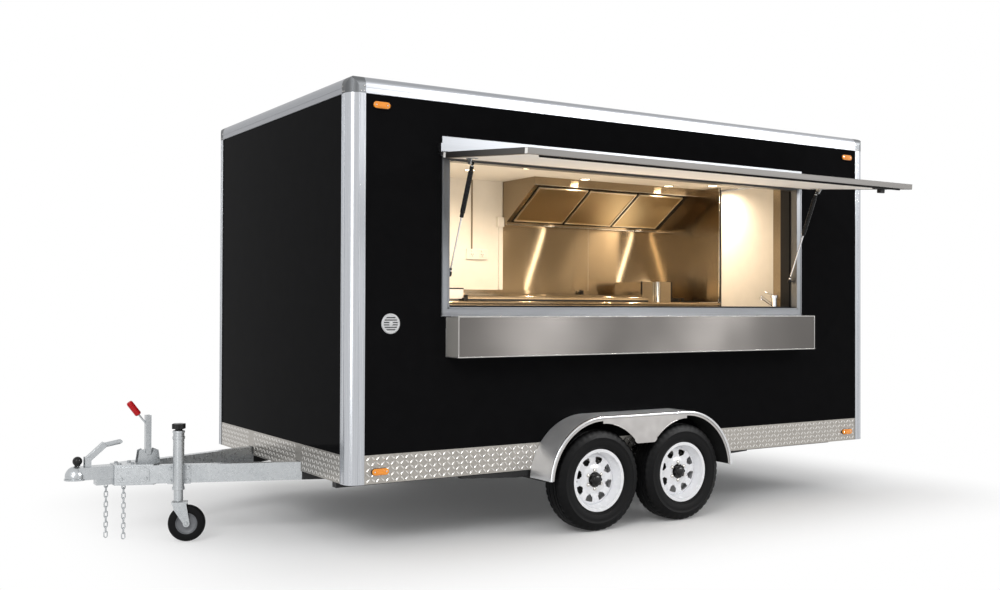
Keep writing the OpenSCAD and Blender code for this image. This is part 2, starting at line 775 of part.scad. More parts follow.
module range_hood() {
    low = 1930;
    deep = 450;
    lip = 55;
    color("silver") place() sheet_yz(bench_x0, -2260)
        polygon([[-lining + 2, low], [-lining + lip, low], [-lining + lip, low + 20],
                 [-lining + deep, ceiling_z - 60], [-lining + deep, ceiling_z], [-lining + 2, ceiling_z]]);
}

chassis_frame();
drawbar();
axles();
floor_panel();
front_wall();
rear_wall();
left_wall();
right_wall();
roof();
corner_posts();
roof_rails();
corner_caps();
skirt_plates();
hatch_frame();
serving_counter();
door_frame();
mudguards();
marker_lamps();
tail_lamps();
number_plate();
coupling_head();
jockey_stand();
safety_chains();
range_hood();
cooking_bench();
serving_bench();
mixer_tap();
griddle();
fryer();
gas_burner();
induction_hob();
tyre_front_left();
tyre_front_right();
tyre_rear_left();
tyre_rear_right();
rim_front_left();
rim_front_right();
rim_rear_left();
rim_rear_right();
jockey_fork();
jockey_wheel();
serving_hatch();
strut_tube_front();
strut_tube_rear();
strut_rod_front();
strut_rod_rear();
rear_door();
handbrake_lever();
coupling_lever();
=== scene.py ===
import json
import math

import bmesh
import bpy
from mathutils import Matrix, Quaternion, Vector


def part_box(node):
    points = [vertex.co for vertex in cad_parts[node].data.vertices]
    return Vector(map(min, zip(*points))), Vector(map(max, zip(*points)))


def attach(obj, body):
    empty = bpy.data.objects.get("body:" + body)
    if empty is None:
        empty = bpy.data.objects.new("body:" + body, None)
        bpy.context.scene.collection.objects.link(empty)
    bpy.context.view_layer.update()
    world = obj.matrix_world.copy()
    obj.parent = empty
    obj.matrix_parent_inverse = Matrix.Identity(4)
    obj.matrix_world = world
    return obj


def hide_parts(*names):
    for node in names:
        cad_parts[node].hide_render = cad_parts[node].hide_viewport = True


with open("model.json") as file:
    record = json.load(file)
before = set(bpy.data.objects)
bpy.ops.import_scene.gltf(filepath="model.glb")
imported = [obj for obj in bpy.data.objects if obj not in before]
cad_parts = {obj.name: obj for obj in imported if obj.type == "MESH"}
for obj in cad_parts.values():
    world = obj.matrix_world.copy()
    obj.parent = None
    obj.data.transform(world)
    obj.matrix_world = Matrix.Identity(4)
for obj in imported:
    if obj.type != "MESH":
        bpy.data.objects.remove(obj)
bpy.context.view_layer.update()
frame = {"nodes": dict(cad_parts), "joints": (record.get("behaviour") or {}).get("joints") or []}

# ---- Viewpoint ---------------------------------------------------------------
# The trailer is seen from off its front left corner, with the eye at the
# height of the hatch sill and the lens turned almost level.
post_lo, post_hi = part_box("corner_posts")
centre_y = (post_lo.y + post_hi.y) / 2


def at(x, y, z):
    """A place measured from the body's front face, its centre line and the ground."""
    return Vector((post_hi.x + x, centre_y + y, z))


half_width = (post_hi.y - post_lo.y) / 2
yaw, pitch, roll = (math.radians(a) for a in (-122.552, 0.607, 0.2))
ahead = Vector((math.cos(yaw) * math.cos(pitch), math.sin(yaw) * math.cos(pitch), math.sin(pitch)))
level = Vector((math.sin(yaw), -math.cos(yaw), 0))
upright = level.cross(ahead)
rightward = level * math.cos(roll) + upright * math.sin(roll)
upward = upright * math.cos(roll) - level * math.sin(roll)

camera = bpy.data.objects.new("camera", bpy.data.cameras.new("camera"))
camera.data.lens = 39.58
camera.data.sensor_width = 36
camera.rotation_mode = "QUATERNION"
camera.rotation_quaternion = Matrix((rightward, upward, -ahead)).transposed().to_quaternion()
camera.location = at(2.393, half_width + 5.201, 1.291)
bpy.context.scene.collection.objects.link(camera)
bpy.context.scene.camera = camera
bpy.context.scene.view_settings.view_transform = "Standard"


# ---- Studio ------------------------------------------------------------------
# A white seamless floor and backdrop in even soft light. The white is what the
# eye, gloss and glass see; the light on the trailer stays at a plain level.
def add(tree, kind, inputs=None, **settings):
    """Adds a node, sets its properties, and links or sets its inputs."""
    made = tree.nodes.new(kind)
    for name, value in settings.items():
        setattr(made, name, value)
    for key, value in (inputs or {}).items():
        if isinstance(value, bpy.types.NodeSocket):
            tree.links.new(value, made.inputs[key])
        else:
            made.inputs[key].default_value = value
    return made


def linear(code):
    """A colour written as an sRGB hex value, in the linear values that shaders use."""
    steps = [int(code[i:i + 2], 16) / 255 for i in (1, 3, 5)]
    return [s / 12.92 if s <= 0.04045 else ((s + 0.055) / 1.055) ** 2.4 for s in steps] + [1]


def seen_directly(tree):
    """1 for rays from the eye, from gloss and through glass, and 0 for light."""
    path = add(tree, "ShaderNodeLightPath")
    gloss = add(tree, "ShaderNodeMath", {0: path.outputs["Is Camera Ray"],
                                         1: path.outputs["Is Glossy Ray"]}, operation="MAXIMUM")
    return add(tree, "ShaderNodeMath", {0: gloss.outputs[0], 1: path.outputs["Is Transmission Ray"]},
               operation="MAXIMUM").outputs[0]


sky_level = 0.78
world = bpy.data.worlds.new("studio")
bpy.context.scene.world = world
world.use_nodes = True
sky = world.node_tree
sky.nodes.clear()
sky_strength = add(sky, "ShaderNodeMapRange", {"Value": seen_directly(sky), "To Min": sky_level,
                                               "To Max": 1.0})
sky_shader = add(sky, "ShaderNodeBackground", {"Color": (1, 1, 1, 1), "Strength": sky_strength.outputs[0]})
add(sky, "ShaderNodeOutputWorld", {"Surface": sky_shader.outputs[0]})

floor_radius = 60.0
shadow_reach = 1.25
paper = bpy.data.materials.new("seamless_paper")
paper.use_nodes = True
sheet = paper.node_tree
sheet.nodes.clear()
lit = add(sheet, "ShaderNodeBsdfDiffuse", {"Color": (0.92, 0.92, 0.92, 1)})
glow = add(sheet, "ShaderNodeEmission", {"Color": (1, 1, 1, 1), "Strength": 1.0})
where = add(sheet, "ShaderNodeTexCoord")
from_middle = add(sheet, "ShaderNodeVectorMath", {0: where.outputs["Object"], 1: (post_lo + post_hi) / 2},
                  operation="SUBTRACT")
each_way = add(sheet, "ShaderNodeVectorMath", {0: from_middle.outputs[0]}, operation="ABSOLUTE")
past_body = add(sheet, "ShaderNodeVectorMath", {0: each_way.outputs[0], 1: (post_hi - post_lo) / 2},
                operation="SUBTRACT")
outside = add(sheet, "ShaderNodeVectorMath", {0: past_body.outputs[0], 1: (0, 0, 0)}, operation="MAXIMUM")
flat = add(sheet, "ShaderNodeVectorMath", {0: outside.outputs[0], 1: (1, 1, 0)}, operation="MULTIPLY")
distance = add(sheet, "ShaderNodeVectorMath", {0: flat.outputs[0]}, operation="LENGTH")
spread = add(sheet, "ShaderNodeMapRange", {"Value": distance.outputs["Value"], "From Min": 0.0,
                                           "From Max": shadow_reach, "To Min": 0.05, "To Max": 1.0},
             interpolation_type="SMOOTHSTEP")
share = add(sheet, "ShaderNodeMath", {0: spread.outputs[0], 1: seen_directly(sheet)}, operation="MULTIPLY")
both = add(sheet, "ShaderNodeMixShader", {0: share.outputs[0], 1: lit.outputs[0], 2: glow.outputs[0]})
add(sheet, "ShaderNodeOutputMaterial", {"Surface": both.outputs[0]})

disc = bmesh.new()
bmesh.ops.create_circle(disc, cap_ends=True, radius=floor_radius, segments=96)
floor_mesh = bpy.data.meshes.new("studio_floor")
disc.to_mesh(floor_mesh)
disc.free()
floor_mesh.materials.append(paper)
studio_floor = bpy.data.objects.new("studio_floor", floor_mesh)
studio_floor.location.z = -0.001
bpy.context.scene.collection.objects.link(studio_floor)


def lamp(name, kind, place, target, power, matt=True, gloss=True, lean=0.0, **settings):
    """A lamp at a place, turned to a target. It may light only matt or only glossy reflection."""
    data = bpy.data.lights.new(name, kind)
    data.energy = power
    for key, value in settings.items():
        setattr(data, key, value)
    made = bpy.data.objects.new(name, data)
    made.location = place
    made.visible_camera = False
    made.visible_diffuse, made.visible_glossy = matt, gloss
    made.rotation_mode = "QUATERNION"
    made.rotation_quaternion = ((Vector(target) - Vector(place)).to_track_quat("-Z", "Y")
                                @ Quaternion((0, 0, 1), math.radians(lean)))
    bpy.context.scene.collection.objects.link(made)


lamp("key_softbox", "AREA", (7.5, 6.5, 6.5), (0, 0, 1.2), 330, size=4.0)
lamp("fill_softbox", "AREA", (-7.0, 7.0, 5.6), (-1.0, 0.8, 1.2), 90, gloss=False, size=1.6)
for name, place, target, power, wide, high in (
        ("rear_strip", (-8.0, 7.0, 5.4), (-1.0, 1.0, 1.2), 700, 0.45, 2.2),
        ("middle_strip", (-5.2, 7.3, 5.5), (0.0, 1.0, 1.2), 660, 0.45, 2.2),
        ("corner_strip", (8.0, 6.8, 2.2), (1.4, 0.7, 1.5), 115, 3.2, 4.2)):
    lamp(name, "AREA", place, target, power, matt=False, shape="RECTANGLE", size=wide, size_y=high)

# ---- Chassis and axles -------------------------------------------------------
# Welded box section rails and cross members under the floor, with two rubber
# torsion axles, in satin black two-pack paint. The film is a little uneven.
def finish(name, constants):
    """A new material with one Principled shader, and the parts that its pattern is linked to."""
    material = bpy.data.materials.new(name)
    material.use_nodes = True
    tree = material.node_tree
    tree.nodes.clear()
    shader = add(tree, "ShaderNodeBsdfPrincipled", constants)
    add(tree, "ShaderNodeOutputMaterial", {"Surface": shader.outputs[0]})
    return material, tree, shader


def dress(material, *nodes):
    """Puts a material on CAD nodes, whose shape stays as it is."""
    for name in nodes:
        slots = frame["nodes"][name].data.materials
        slots.clear()
        slots.append(material)


def mottled(name, constants, grain_mm, light, dark, rough, bump=0.0, stretch=(1, 1, 1), detail=3.0):
    """A finish whose colour, gloss and height vary with one noise of a real grain size."""
    material, tree, shader = finish(name, constants)
    where = add(tree, "ShaderNodeTexCoord")
    placed = add(tree, "ShaderNodeMapping", {"Vector": where.outputs["Object"], "Scale": stretch})
    noise = add(tree, "ShaderNodeTexNoise", {"Vector": placed.outputs[0], "Scale": 1000 / grain_mm,
                                             "Detail": detail})
    tint = add(tree, "ShaderNodeMix", {0: noise.outputs["Fac"], 6: linear(dark), 7: linear(light)},
               data_type="RGBA")
    gloss = add(tree, "ShaderNodeMapRange", {"Value": noise.outputs["Fac"], "From Min": 0.3, "From Max": 0.7,
                                             "To Min": rough[0], "To Max": rough[1]})
    tree.links.new(tint.outputs[2], shader.inputs["Base Color"])
    tree.links.new(gloss.outputs[0], shader.inputs["Roughness"])
    if bump:
        relief = add(tree, "ShaderNodeBump", {"Height": noise.outputs["Fac"], "Strength": 1.0,
                                              "Distance": bump / 1000})
        tree.links.new(relief.outputs[0], shader.inputs["Normal"])
    return material


chassis_paint = mottled("satin_black_two_pack_paint", {"IOR": 1.5, "Specular IOR Level": 0.35}, 14,
                        "#1a1a1b", "#101011", (0.38, 0.55), bump=0.05)
dress(chassis_paint, "chassis_frame", "axles")

# ---- Drawbar -----------------------------------------------------------------
# Two box section arms that meet at the coupling, hot dip galvanised after
# welding. Zinc freezes in flakes about 12 mm across, each a slightly other grey.
def galvanised():
    material, tree, shader = finish("hot_dip_galvanised_steel", {"Metallic": 0.85})
    where = add(tree, "ShaderNodeTexCoord")
    flakes = add(tree, "ShaderNodeTexVoronoi", {"Vector": where.outputs["Object"], "Scale": 1000 / 12})
    clouds = add(tree, "ShaderNodeTexNoise", {"Vector": where.outputs["Object"], "Scale": 1000 / 140,
                                              "Detail": 4.0})
    value = add(tree, "ShaderNodeSeparateColor", {"Color": flakes.outputs["Color"]})
    mixed = add(tree, "ShaderNodeMath", {0: value.outputs[0], 1: 0.28, 2: clouds.outputs["Fac"]},
                operation="MULTIPLY_ADD")
    tint = add(tree, "ShaderNodeMix", {0: mixed.outputs[0], 6: linear("#a9adb0"), 7: linear("#bfc2c4")},
               data_type="RGBA")
    gloss = add(tree, "ShaderNodeMapRange", {"Value": value.outputs[1], "To Min": 0.24, "To Max": 0.36})
    relief = add(tree, "ShaderNodeBump", {"Height": mixed.outputs[0], "Strength": 0.10, "Distance": 0.0001})
    tree.links.new(tint.outputs[2], shader.inputs["Base Color"])
    tree.links.new(gloss.outputs[0], shader.inputs["Roughness"])
    tree.links.new(relief.outputs[0], shader.inputs["Normal"])
    return material


zinc = galvanised()
dress(zinc, "drawbar", "coupling_head", "jockey_stand", "jockey_fork", "safety_chains",
      "handbrake_lever", "coupling_lever")


def slab(mesh, lo, hi):
    """A box between two corners. Returns its vertices."""
    made = bmesh.ops.create_cube(mesh, size=1.0)["verts"]
    for v in made:
        v.co = Vector([(lo[i] + hi[i]) / 2 + v.co[i] * (hi[i] - lo[i]) for i in range(3)])
    return made


def push(mesh, outline, axis, start, end):
    """An outline in the two other axes, pushed out along an axis. Returns its vertices."""
    across = [i for i in range(3) if i != axis]
    rings = []
    for level in (start, end):
        ring = []
        for point in outline:
            place = Vector((0, 0, 0))
            place[axis] = level
            place[across[0]], place[across[1]] = point
            ring.append(mesh.verts.new(place))
        rings.append(ring)
    mesh.faces.new(rings[0])
    mesh.faces.new(rings[1])
    for i in range(len(outline)):
        mesh.faces.new((rings[0][i - 1], rings[0][i], rings[1][i], rings[1][i - 1]))
    return rings[0] + rings[1]


def turn(mesh, profile, centre, axis=2, steps=48, closed=False):
    """A profile of (radius, height) turned about an axis through a centre. Returns its vertices."""
    across = [i for i in range(3) if i != axis]
    rings = []
    for step in range(steps):
        angle = 2 * math.pi * step / steps
        ring = []
        for radius, height in profile:
            place = Vector(centre)
            place[axis] += height
            place[across[0]] += radius * math.cos(angle)
            place[across[1]] += radius * math.sin(angle)
            ring.append(mesh.verts.new(place))
        rings.append(ring)
    for step in range(steps):
        for i in range(0 if closed else 1, len(profile)):
            mesh.faces.new((rings[step - 1][i - 1], rings[step - 1][i], rings[step][i], rings[step][i - 1]))
    verts = [v for ring in rings for v in ring]
    if not closed:
        bmesh.ops.remove_doubles(mesh, verts=verts, dist=1e-6)
    return [v for v in verts if v.is_valid]


def pipe(mesh, path, radius, sides=12):
    """A round bar along a path of points, closed at its ends. Returns its vertices."""
    path = [Vector(p) for p in path]
    ahead = (path[1] - path[0]).normalized()
    side = ahead.orthogonal().normalized()
    rings = []
    for i, point in enumerate(path):
        before, after = path[max(i - 1, 0)], path[min(i + 1, len(path) - 1)]
        along = (after - before).normalized()
        side = ahead.rotation_difference(along) @ side
        ahead = along
        other = along.cross(side)
        rings.append([mesh.verts.new(point + (side * math.cos(a) + other * math.sin(a)) * radius)
                      for a in (2 * math.pi * k / sides for k in range(sides))])
    for a, b in zip(rings, rings[1:]):
        for k in range(sides):
            mesh.faces.new((a[k - 1], a[k], b[k], b[k - 1]))
    mesh.faces.new(rings[0])
    mesh.faces.new(rings[-1])
    return [v for ring in rings for v in ring]


def move(verts, matrix):
    for v in verts:
        v.co = matrix @ v.co


def piece(name, mesh, material, body="trailer", bevel=0.0, sharp=35):
    """Makes a finished piece of a mesh: outward faces, one material, softened edges, on one body."""
    bmesh.ops.recalc_face_normals(mesh, faces=mesh.faces)
    data = bpy.data.meshes.new(name)
    mesh.to_mesh(data)
    mesh.free()
    data.materials.append(material)
    data.shade_smooth()
    data.set_sharp_from_angle(angle=math.radians(sharp))
    made = bpy.data.objects.new(name, data)
    bpy.context.scene.collection.objects.link(made)
    if bevel:
        edges = made.modifiers.new("softened_edges", "BEVEL")
        edges.width = bevel
        edges.segments = 2
        edges.limit_method = "ANGLE"
        edges.angle_limit = math.radians(40)
    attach(made, body)
    return made


def fixings_tree():
    """Repeats a head on every point of a mesh, turned to face along the point's own direction."""
    tree = bpy.data.node_groups.new("heads_on_points", "GeometryNodeTree")
    for label, kind in (("Places", "Geometry"), ("Head", "Object"), ("Head Width", "Float"),
                        ("Finish", "Material")):
        tree.interface.new_socket(label, in_out="INPUT", socket_type="NodeSocket" + kind)
    tree.interface.new_socket("Heads", in_out="OUTPUT", socket_type="NodeSocketGeometry")
    given = add(tree, "NodeGroupInput")
    head = add(tree, "GeometryNodeObjectInfo", {"Object": given.outputs["Head"]})
    facing = add(tree, "GeometryNodeInputNamedAttribute", {"Name": "facing"}, data_type="FLOAT_VECTOR")
    turned = add(tree, "FunctionNodeAlignRotationToVector", {"Vector": facing.outputs[0]}, axis="Z")
    copies = add(tree, "GeometryNodeInstanceOnPoints", {
        "Points": given.outputs["Places"], "Instance": head.outputs["Geometry"],
        "Rotation": turned.outputs[0], "Scale": given.outputs["Head Width"]})
    real = add(tree, "GeometryNodeRealizeInstances", {0: copies.outputs[0]})
    dressed = add(tree, "GeometryNodeSetMaterial", {0: real.outputs[0], "Material": given.outputs["Finish"]})
    add(tree, "NodeGroupOutput", {0: dressed.outputs[0]})
    return tree


def grow(name, tree, base, values, body="trailer", sharp=35):
    """Runs a node tree on a base mesh and keeps its result as a plain mesh on one body."""
    host = bpy.data.objects.new(name, base)
    bpy.context.scene.collection.objects.link(host)
    modifier = host.modifiers.new("repeats", "NODES")
    modifier.node_group = tree
    for item in tree.interface.items_tree:
        if item.name in values:
            modifier[item.identifier] = values[item.name]
    ready = host.evaluated_get(bpy.context.evaluated_depsgraph_get())
    data = bpy.data.meshes.new_from_object(ready)
    host.modifiers.clear()
    host.data = data
    data.shade_smooth()
    data.set_sharp_from_angle(angle=math.radians(sharp))
    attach(host, body)
    return host


def places(points):
    """A mesh of loose points, each a (place, direction) pair."""
    mesh = bpy.data.meshes.new("places")
    mesh.from_pydata([p for p, _ in points], [], [])
    facing = mesh.attributes.new("facing", "FLOAT_VECTOR", "POINT")
    facing.data.foreach_set("vector", [c for _, d in points for c in d])
    return mesh


def pattern(name, build):
    """A shape that node trees repeat. It isn't shown itself."""
    mesh = bmesh.new()
    build(mesh)
    bmesh.ops.recalc_face_normals(mesh, faces=mesh.faces)
    data = bpy.data.meshes.new(name)
    mesh.to_mesh(data)
    mesh.free()
    return bpy.data.objects.new(name, data)


def hex_head(mesh):
    turn(mesh, [(0, 0), (1.3, 0), (1.3, 0.16), (0, 0.16)], (0, 0, 0), steps=20)
    turn(mesh, [(0, 0.1), (1, 0.1), (1, 0.8), (0.86, 0.95), (0, 0.95)], (0, 0, 0), steps=6)


def dome_head(mesh):
    turn(mesh, [(0, 0), (1, 0), (0.94, 0.22), (0.66, 0.46), (0.3, 0.57), (0, 0.6)], (0, 0, 0), steps=14)


heads = fixings_tree()
hexagon = pattern("hexagon_head", hex_head)
dome = pattern("dome_head", dome_head)
apex_x, apex_y = 0.950, 0.022
arm_angle = math.radians(21)
arm = Matrix.Translation(at(apex_x, apex_y, 0)) @ Matrix.Rotation(math.pi - arm_angle, 4, "Z")
arm_half = 0.025
arm_low, arm_high = 0.312, 0.412

# A cover plate bolted to the near arm, over the brake cable's way out.
cover_from, cover_to = 0.045, 0.215
cover_low, cover_high = arm_low + 0.012, arm_high - 0.006
cover_face = -arm_half - 0.004
cover = bmesh.new()
move(push(cover, [(cover_from, cover_low), (cover_to, cover_low), (cover_to, cover_high - 0.016),
                  (cover_to - 0.030, cover_high), (cover_from, cover_high)],
          1, cover_face, -arm_half), arm)
piece("brake_cable_cover", cover, zinc, bevel=0.0012)
tie_plate_t = 0.006
tie_bolts = [(at(x, y, arm_high + tie_plate_t), (0, 0, 1)) for x in (0.900, 0.830) for y in (-0.04, 0.04)]
cover_bolts = [(arm @ Vector((x, cover_face, arm_low + 0.030)), arm.to_3x3() @ Vector((0, -1, 0)))
               for x in (cover_from + 0.020, cover_to - 0.020)]
grow("drawbar_bolts", heads, places(tie_bolts + cover_bolts), {
    "Head": hexagon, "Head Width": 0.0095, "Finish": zinc})

# ---- Coupling and brake lever ------------------------------------------------
# A pressed steel ball coupling with a moulded black release knob, and a brake
# lever whose rod ends in a ribbed grip of soft red PVC.
def moulding(name, light, dark, rough, grain_mm=2.0, level=0.5):
    """A moulded plastic: one colour through, with the fine spark-eroded grain of its mould."""
    return mottled(name, {"IOR": 1.5, "Specular IOR Level": level}, grain_mm, light, dark, rough, bump=0.04)


black_abs = moulding("black_abs_moulding", "#161617", "#111112", (0.28, 0.40), level=0.28)
red_pvc = moulding("red_soft_pvc", "#c0161d", "#a81118", (0.34, 0.46), level=0.2)

knob_r = 0.0255
knob_at = at(1.112, 0, arm_high + 0.034)
half_turn = [math.radians(a) for a in range(0, 181, 12)]
knob = bmesh.new()
turn(knob, [(knob_r * math.sin(a), -knob_r * math.cos(a)) for a in half_turn], knob_at, steps=32)
turn(knob, [(0.0, -0.026), (0.0150, -0.026), (0.0160, -0.014), (0.0, -0.014)], knob_at, steps=32)
piece("release_knob", knob, black_abs)


def joint(name):
    """A joint of the construction model, with its place and its axis."""
    return next(j for j in frame["joints"] if j["name"] == name)


# The coupling's own lever is a pressed channel on a pivot bolt, and it carries
# on past its bend as a plain tube with a rounded end to grip.
latch = Vector(joint("coupling_latch")["pos_m"])
elbow = latch + Vector((-0.082, 0, 0.072))
tip = elbow + Vector((-0.092, 0, 0.016))
lever_half, lever_inside, lever_depth = 0.0172, 0.0147, 0.0158
lever_l = (elbow - latch).length
along = (elbow - latch).normalized()
lie = Matrix((along, Vector((0, 1, 0)), along.cross(Vector((0, 1, 0))))).transposed().to_4x4()
lie.translation = latch
web = math.copysign(lever_depth, lie.to_3x3().col[2].z)
inner_web = web * 0.84
section = [(-lever_half, -web), (-lever_half, web), (lever_half, web), (lever_half, -web),
           (lever_inside, -web), (lever_inside, inner_web), (-lever_inside, inner_web), (-lever_inside, -web)]
pressed = bmesh.new()
move(push(pressed, section, 0, -0.004, lever_l + 0.012), lie)
piece("coupling_lever_channel", pressed, zinc, body="coupling_lever", bevel=0.0012)
tube_r = 0.0135
tube_l = (tip - elbow).length + 0.008
round_end = [(tube_r * math.cos(a), tube_l - tube_r + tube_r * math.sin(a))
             for a in (math.radians(15 * k) for k in range(6))]
lay = Matrix.Translation(elbow) @ Vector((0, 0, 1)).rotation_difference(tip - elbow).to_matrix().to_4x4()
tube = bmesh.new()
move(turn(tube, [(0, -0.004), (tube_r, -0.004)] + round_end + [(0, tube_l)], (0, 0, 0), steps=32), lay)
piece("coupling_lever_grip", tube, zinc, body="coupling_lever")
pivot_bolts = [(latch + Vector((0, side * lever_half, 0)), (0, side, 0)) for side in (-1, 1)]
grow("coupling_pivot_bolts", heads, places(pivot_bolts), {
    "Head": hexagon, "Head Width": 0.0085, "Finish": zinc}, body="coupling_lever")

# The brake lever's grip is a sleeve with nine soft ribs round it.
brake = Vector(joint("handbrake_pivot")["pos_m"])
grip_low = brake + Vector((0.052, 0, 0.241))
grip_high = brake + Vector((0.1055, 0, 0.312))
grip_l = (grip_high - grip_low).length
grip_ribs = 9
valley_r, crest_r = 0.0168, 0.0182
step = (grip_l - 0.012) / grip_ribs
profile = [(0, 0), (0.0140, 0)]
for i in range(grip_ribs):
    start = 0.004 + step * i
    profile += [(valley_r, start), (crest_r, start + step * 0.25), (crest_r, start + step * 0.6),
                (valley_r, start + step * 0.85)]
profile += [(valley_r, grip_l - 0.006), (0.0140, grip_l - 0.001), (0.006, grip_l), (0, grip_l)]
grip = bmesh.new()
aim = Vector((0, 0, 1)).rotation_difference(grip_high - grip_low).to_matrix().to_4x4()
move(turn(grip, profile, (0, 0, 0), steps=28), Matrix.Translation(grip_low) @ aim)
piece("brake_grip", grip, red_pvc, body="handbrake_lever")

# The brake's pull rod runs back from the lever under the tie plate.
rod_r = 0.005
rod = bmesh.new()
pipe(rod, [brake + Vector((-0.010, 0, -0.02)), brake + Vector((-0.05, 0, -0.05)), at(0.62, 0, 0.345),
           at(0.56, 0, 0.335), at(0.05, 0, 0.335)], rod_r)
piece("brake_pull_rod", rod, zinc)

# ---- Jockey stand ------------------------------------------------------------
# A telescopic stand clamped to the near arm by four bolts, with a black star
# knob on its screw, a forked foot and a solid rubber wheel on a grey steel rim.
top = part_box("jockey_stand")[1].z
swivel = Vector(joint("jockey_swivel")["pos_m"])
clamp = Matrix.Translation(Vector((swivel.x, swivel.y, 0))) @ Matrix.Rotation(-arm_angle, 4, "Z")
out = clamp.to_3x3() @ Vector((0, 1, 0))
clamp_bolts = [(clamp @ Vector((x, -0.035, z)), out) for x in (-0.048, 0.048)
               for z in (arm_low + 0.016, arm_high - 0.016)]
grow("clamp_bolts", heads, places(clamp_bolts), {"Head": hexagon, "Head Width": 0.0105, "Finish": zinc})


def lobed(radius, wave, lobes, steps, centre=(0, 0)):
    """A round outline with lobes, as a hand knob has them."""
    turns = [2 * math.pi * k / steps for k in range(steps)]
    return [(centre[0] + (radius + wave * math.cos(lobes * a)) * math.cos(a),
             centre[1] + (radius + wave * math.cos(lobes * a)) * math.sin(a)) for a in turns]


star = bmesh.new()
push(star, lobed(0.035, 0.0025, 6, 72, (swivel.x, swivel.y)), 2, top - 0.0245, top + 0.004)
turn(star, [(0, -0.040), (0.0215, -0.040), (0.0195, -0.030), (0.0215, -0.024), (0, -0.024)],
     (swivel.x, swivel.y, top), steps=36)
piece("stand_knob", star, black_abs, bevel=0.003, sharp=50)
stand_tube_r = 0.028
collar = bmesh.new()
for low, high, radius in ((0.283, 0.298, 0.0335), (0.560, 0.575, 0.0335), (top - 0.046, top - 0.034, 0.033)):
    turn(collar, [(stand_tube_r, low), (radius, low), (radius, high), (stand_tube_r, high)],
         (swivel.x, swivel.y, 0), steps=40, closed=True)
piece("stand_collars", collar, zinc, bevel=0.0015)


def rubber(name, light, dark, rough, grain_mm):
    """Carbon filled rubber: near black, dull, a little bloomed in patches."""
    return mottled(name, {"IOR": 1.5, "Specular IOR Level": 0.10}, grain_mm, light, dark, rough,
                   bump=0.12, detail=6.0)


tread_rubber = rubber("black_road_tyre_rubber", "#111112", "#0b0b0c", (0.42, 0.60), 6)
spin = joint("jockey_wheel_spin")
jockey_r = 0.100
jockey = (Matrix.Translation(Vector(spin["pos_m"]))
          @ Vector((0, 1, 0)).rotation_difference(Vector(spin["axis"])).to_matrix().to_4x4())
jockey_tyre = bmesh.new()
outer = [(0.058, 0.022), (0.064, 0.0235), (0.086, 0.0235), (0.092, 0.0215), (0.0965, 0.017), (0.0990, 0.010),
         (jockey_r, 0.0045), (0.0985, 0.0035), (0.0985, 0.0)]
move(turn(jockey_tyre, outer + [(r, -h) for r, h in reversed(outer[:-1])], (0, 0, 0), axis=1, steps=72,
          closed=True), jockey)
jockey_tyre = piece("jockey_tyre", jockey_tyre, tread_rubber, body="jockey_wheel",
                    sharp=50)
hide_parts("jockey_wheel")
grey_enamel = mottled("grey_rim_enamel", {"IOR": 1.5, "Specular IOR Level": 0.4}, 20, "#74767a", "#66686b",
                      (0.30, 0.42), bump=0.03)
jockey_rim = bmesh.new()
face_profile = [(0.0065, 0.022), (0.014, 0.0225), (0.017, 0.019), (0.024, 0.011), (0.044, 0.009),
                (0.052, 0.013), (0.056, 0.021), (0.0605, 0.0225), (0.0605, 0.018)]
move(turn(jockey_rim, face_profile + [(r, -h) for r, h in reversed(face_profile)], (0, 0, 0), axis=1,
          steps=56, closed=True), jockey)
piece("jockey_rim", jockey_rim, grey_enamel, body="jockey_wheel", bevel=0.0006)
fork_half = 0.036
axle_nuts = [(jockey @ Vector((0, side * fork_half, 0)), jockey.to_3x3() @ Vector((0, side, 0)))
             for side in (-1, 1)]
grow("jockey_axle_nuts", heads, places(axle_nuts), {"Head": hexagon, "Head Width": 0.0085, "Finish": zinc},
     body="jockey_fork")

# ---- Road wheels -------------------------------------------------------------
# 13 inch radial trailer tyres on eight-vent steel rims in white baked enamel,
# held by six plated nuts, with a lobed black cap over each hub.
white_enamel = mottled("white_baked_enamel", {"IOR": 1.5, "Specular IOR Level": 0.5}, 30,
                       "#f2f3f5", "#e9eaee", (0.20, 0.30), bump=0.02)
bright_nickel = mottled("bright_nickel_plate", {"Metallic": 1.0}, 8, "#d8d6d2", "#c2c0bc",
                        (0.12, 0.22), bump=0.01)

tyre_profile = [(0.166, 0.060), (0.1795, 0.062), (0.184, 0.070), (0.190, 0.0745), (0.1915, 0.0765),
                (0.195, 0.0765), (0.1965, 0.0785), (0.214, 0.0828), (0.226, 0.0840), (0.240, 0.0838),
                (0.2415, 0.0847), (0.246, 0.0847), (0.2475, 0.0835), (0.262, 0.0790), (0.272, 0.0745),
                (0.281, 0.0690), (0.2875, 0.0625), (0.2897, 0.0560), (0.2905, 0.0500), (0.2908, 0.0465),
                (0.2850, 0.0452), (0.2850, 0.0408), (0.2913, 0.0395), (0.2916, 0.0225), (0.2858, 0.0212),
                (0.2858, 0.0168), (0.2919, 0.0155), (0.2920, 0.0)]
shoulder = range(14, 20)
tyre_steps = 168
sipe_depth = 0.0042


def tyre_mesh():
    """One tyre about its own axle, with the outward side towards +Y."""
    mesh = bmesh.new()
    ring = tyre_profile + [(r, -h) for r, h in reversed(tyre_profile[:-1])]
    cut = set(shoulder) | {len(ring) - 1 - i for i in shoulder}
    verts = turn(mesh, ring, (0, 0, 0), axis=1, steps=tyre_steps, closed=True)
    for index, v in enumerate(verts):
        step, spot = divmod(index, len(ring))
        if spot in cut and step % 4 == 0:
            radius = math.hypot(v.co.x, v.co.z)
            v.co.x *= 1 - sipe_depth / radius
            v.co.z *= 1 - sipe_depth / radius
    return mesh


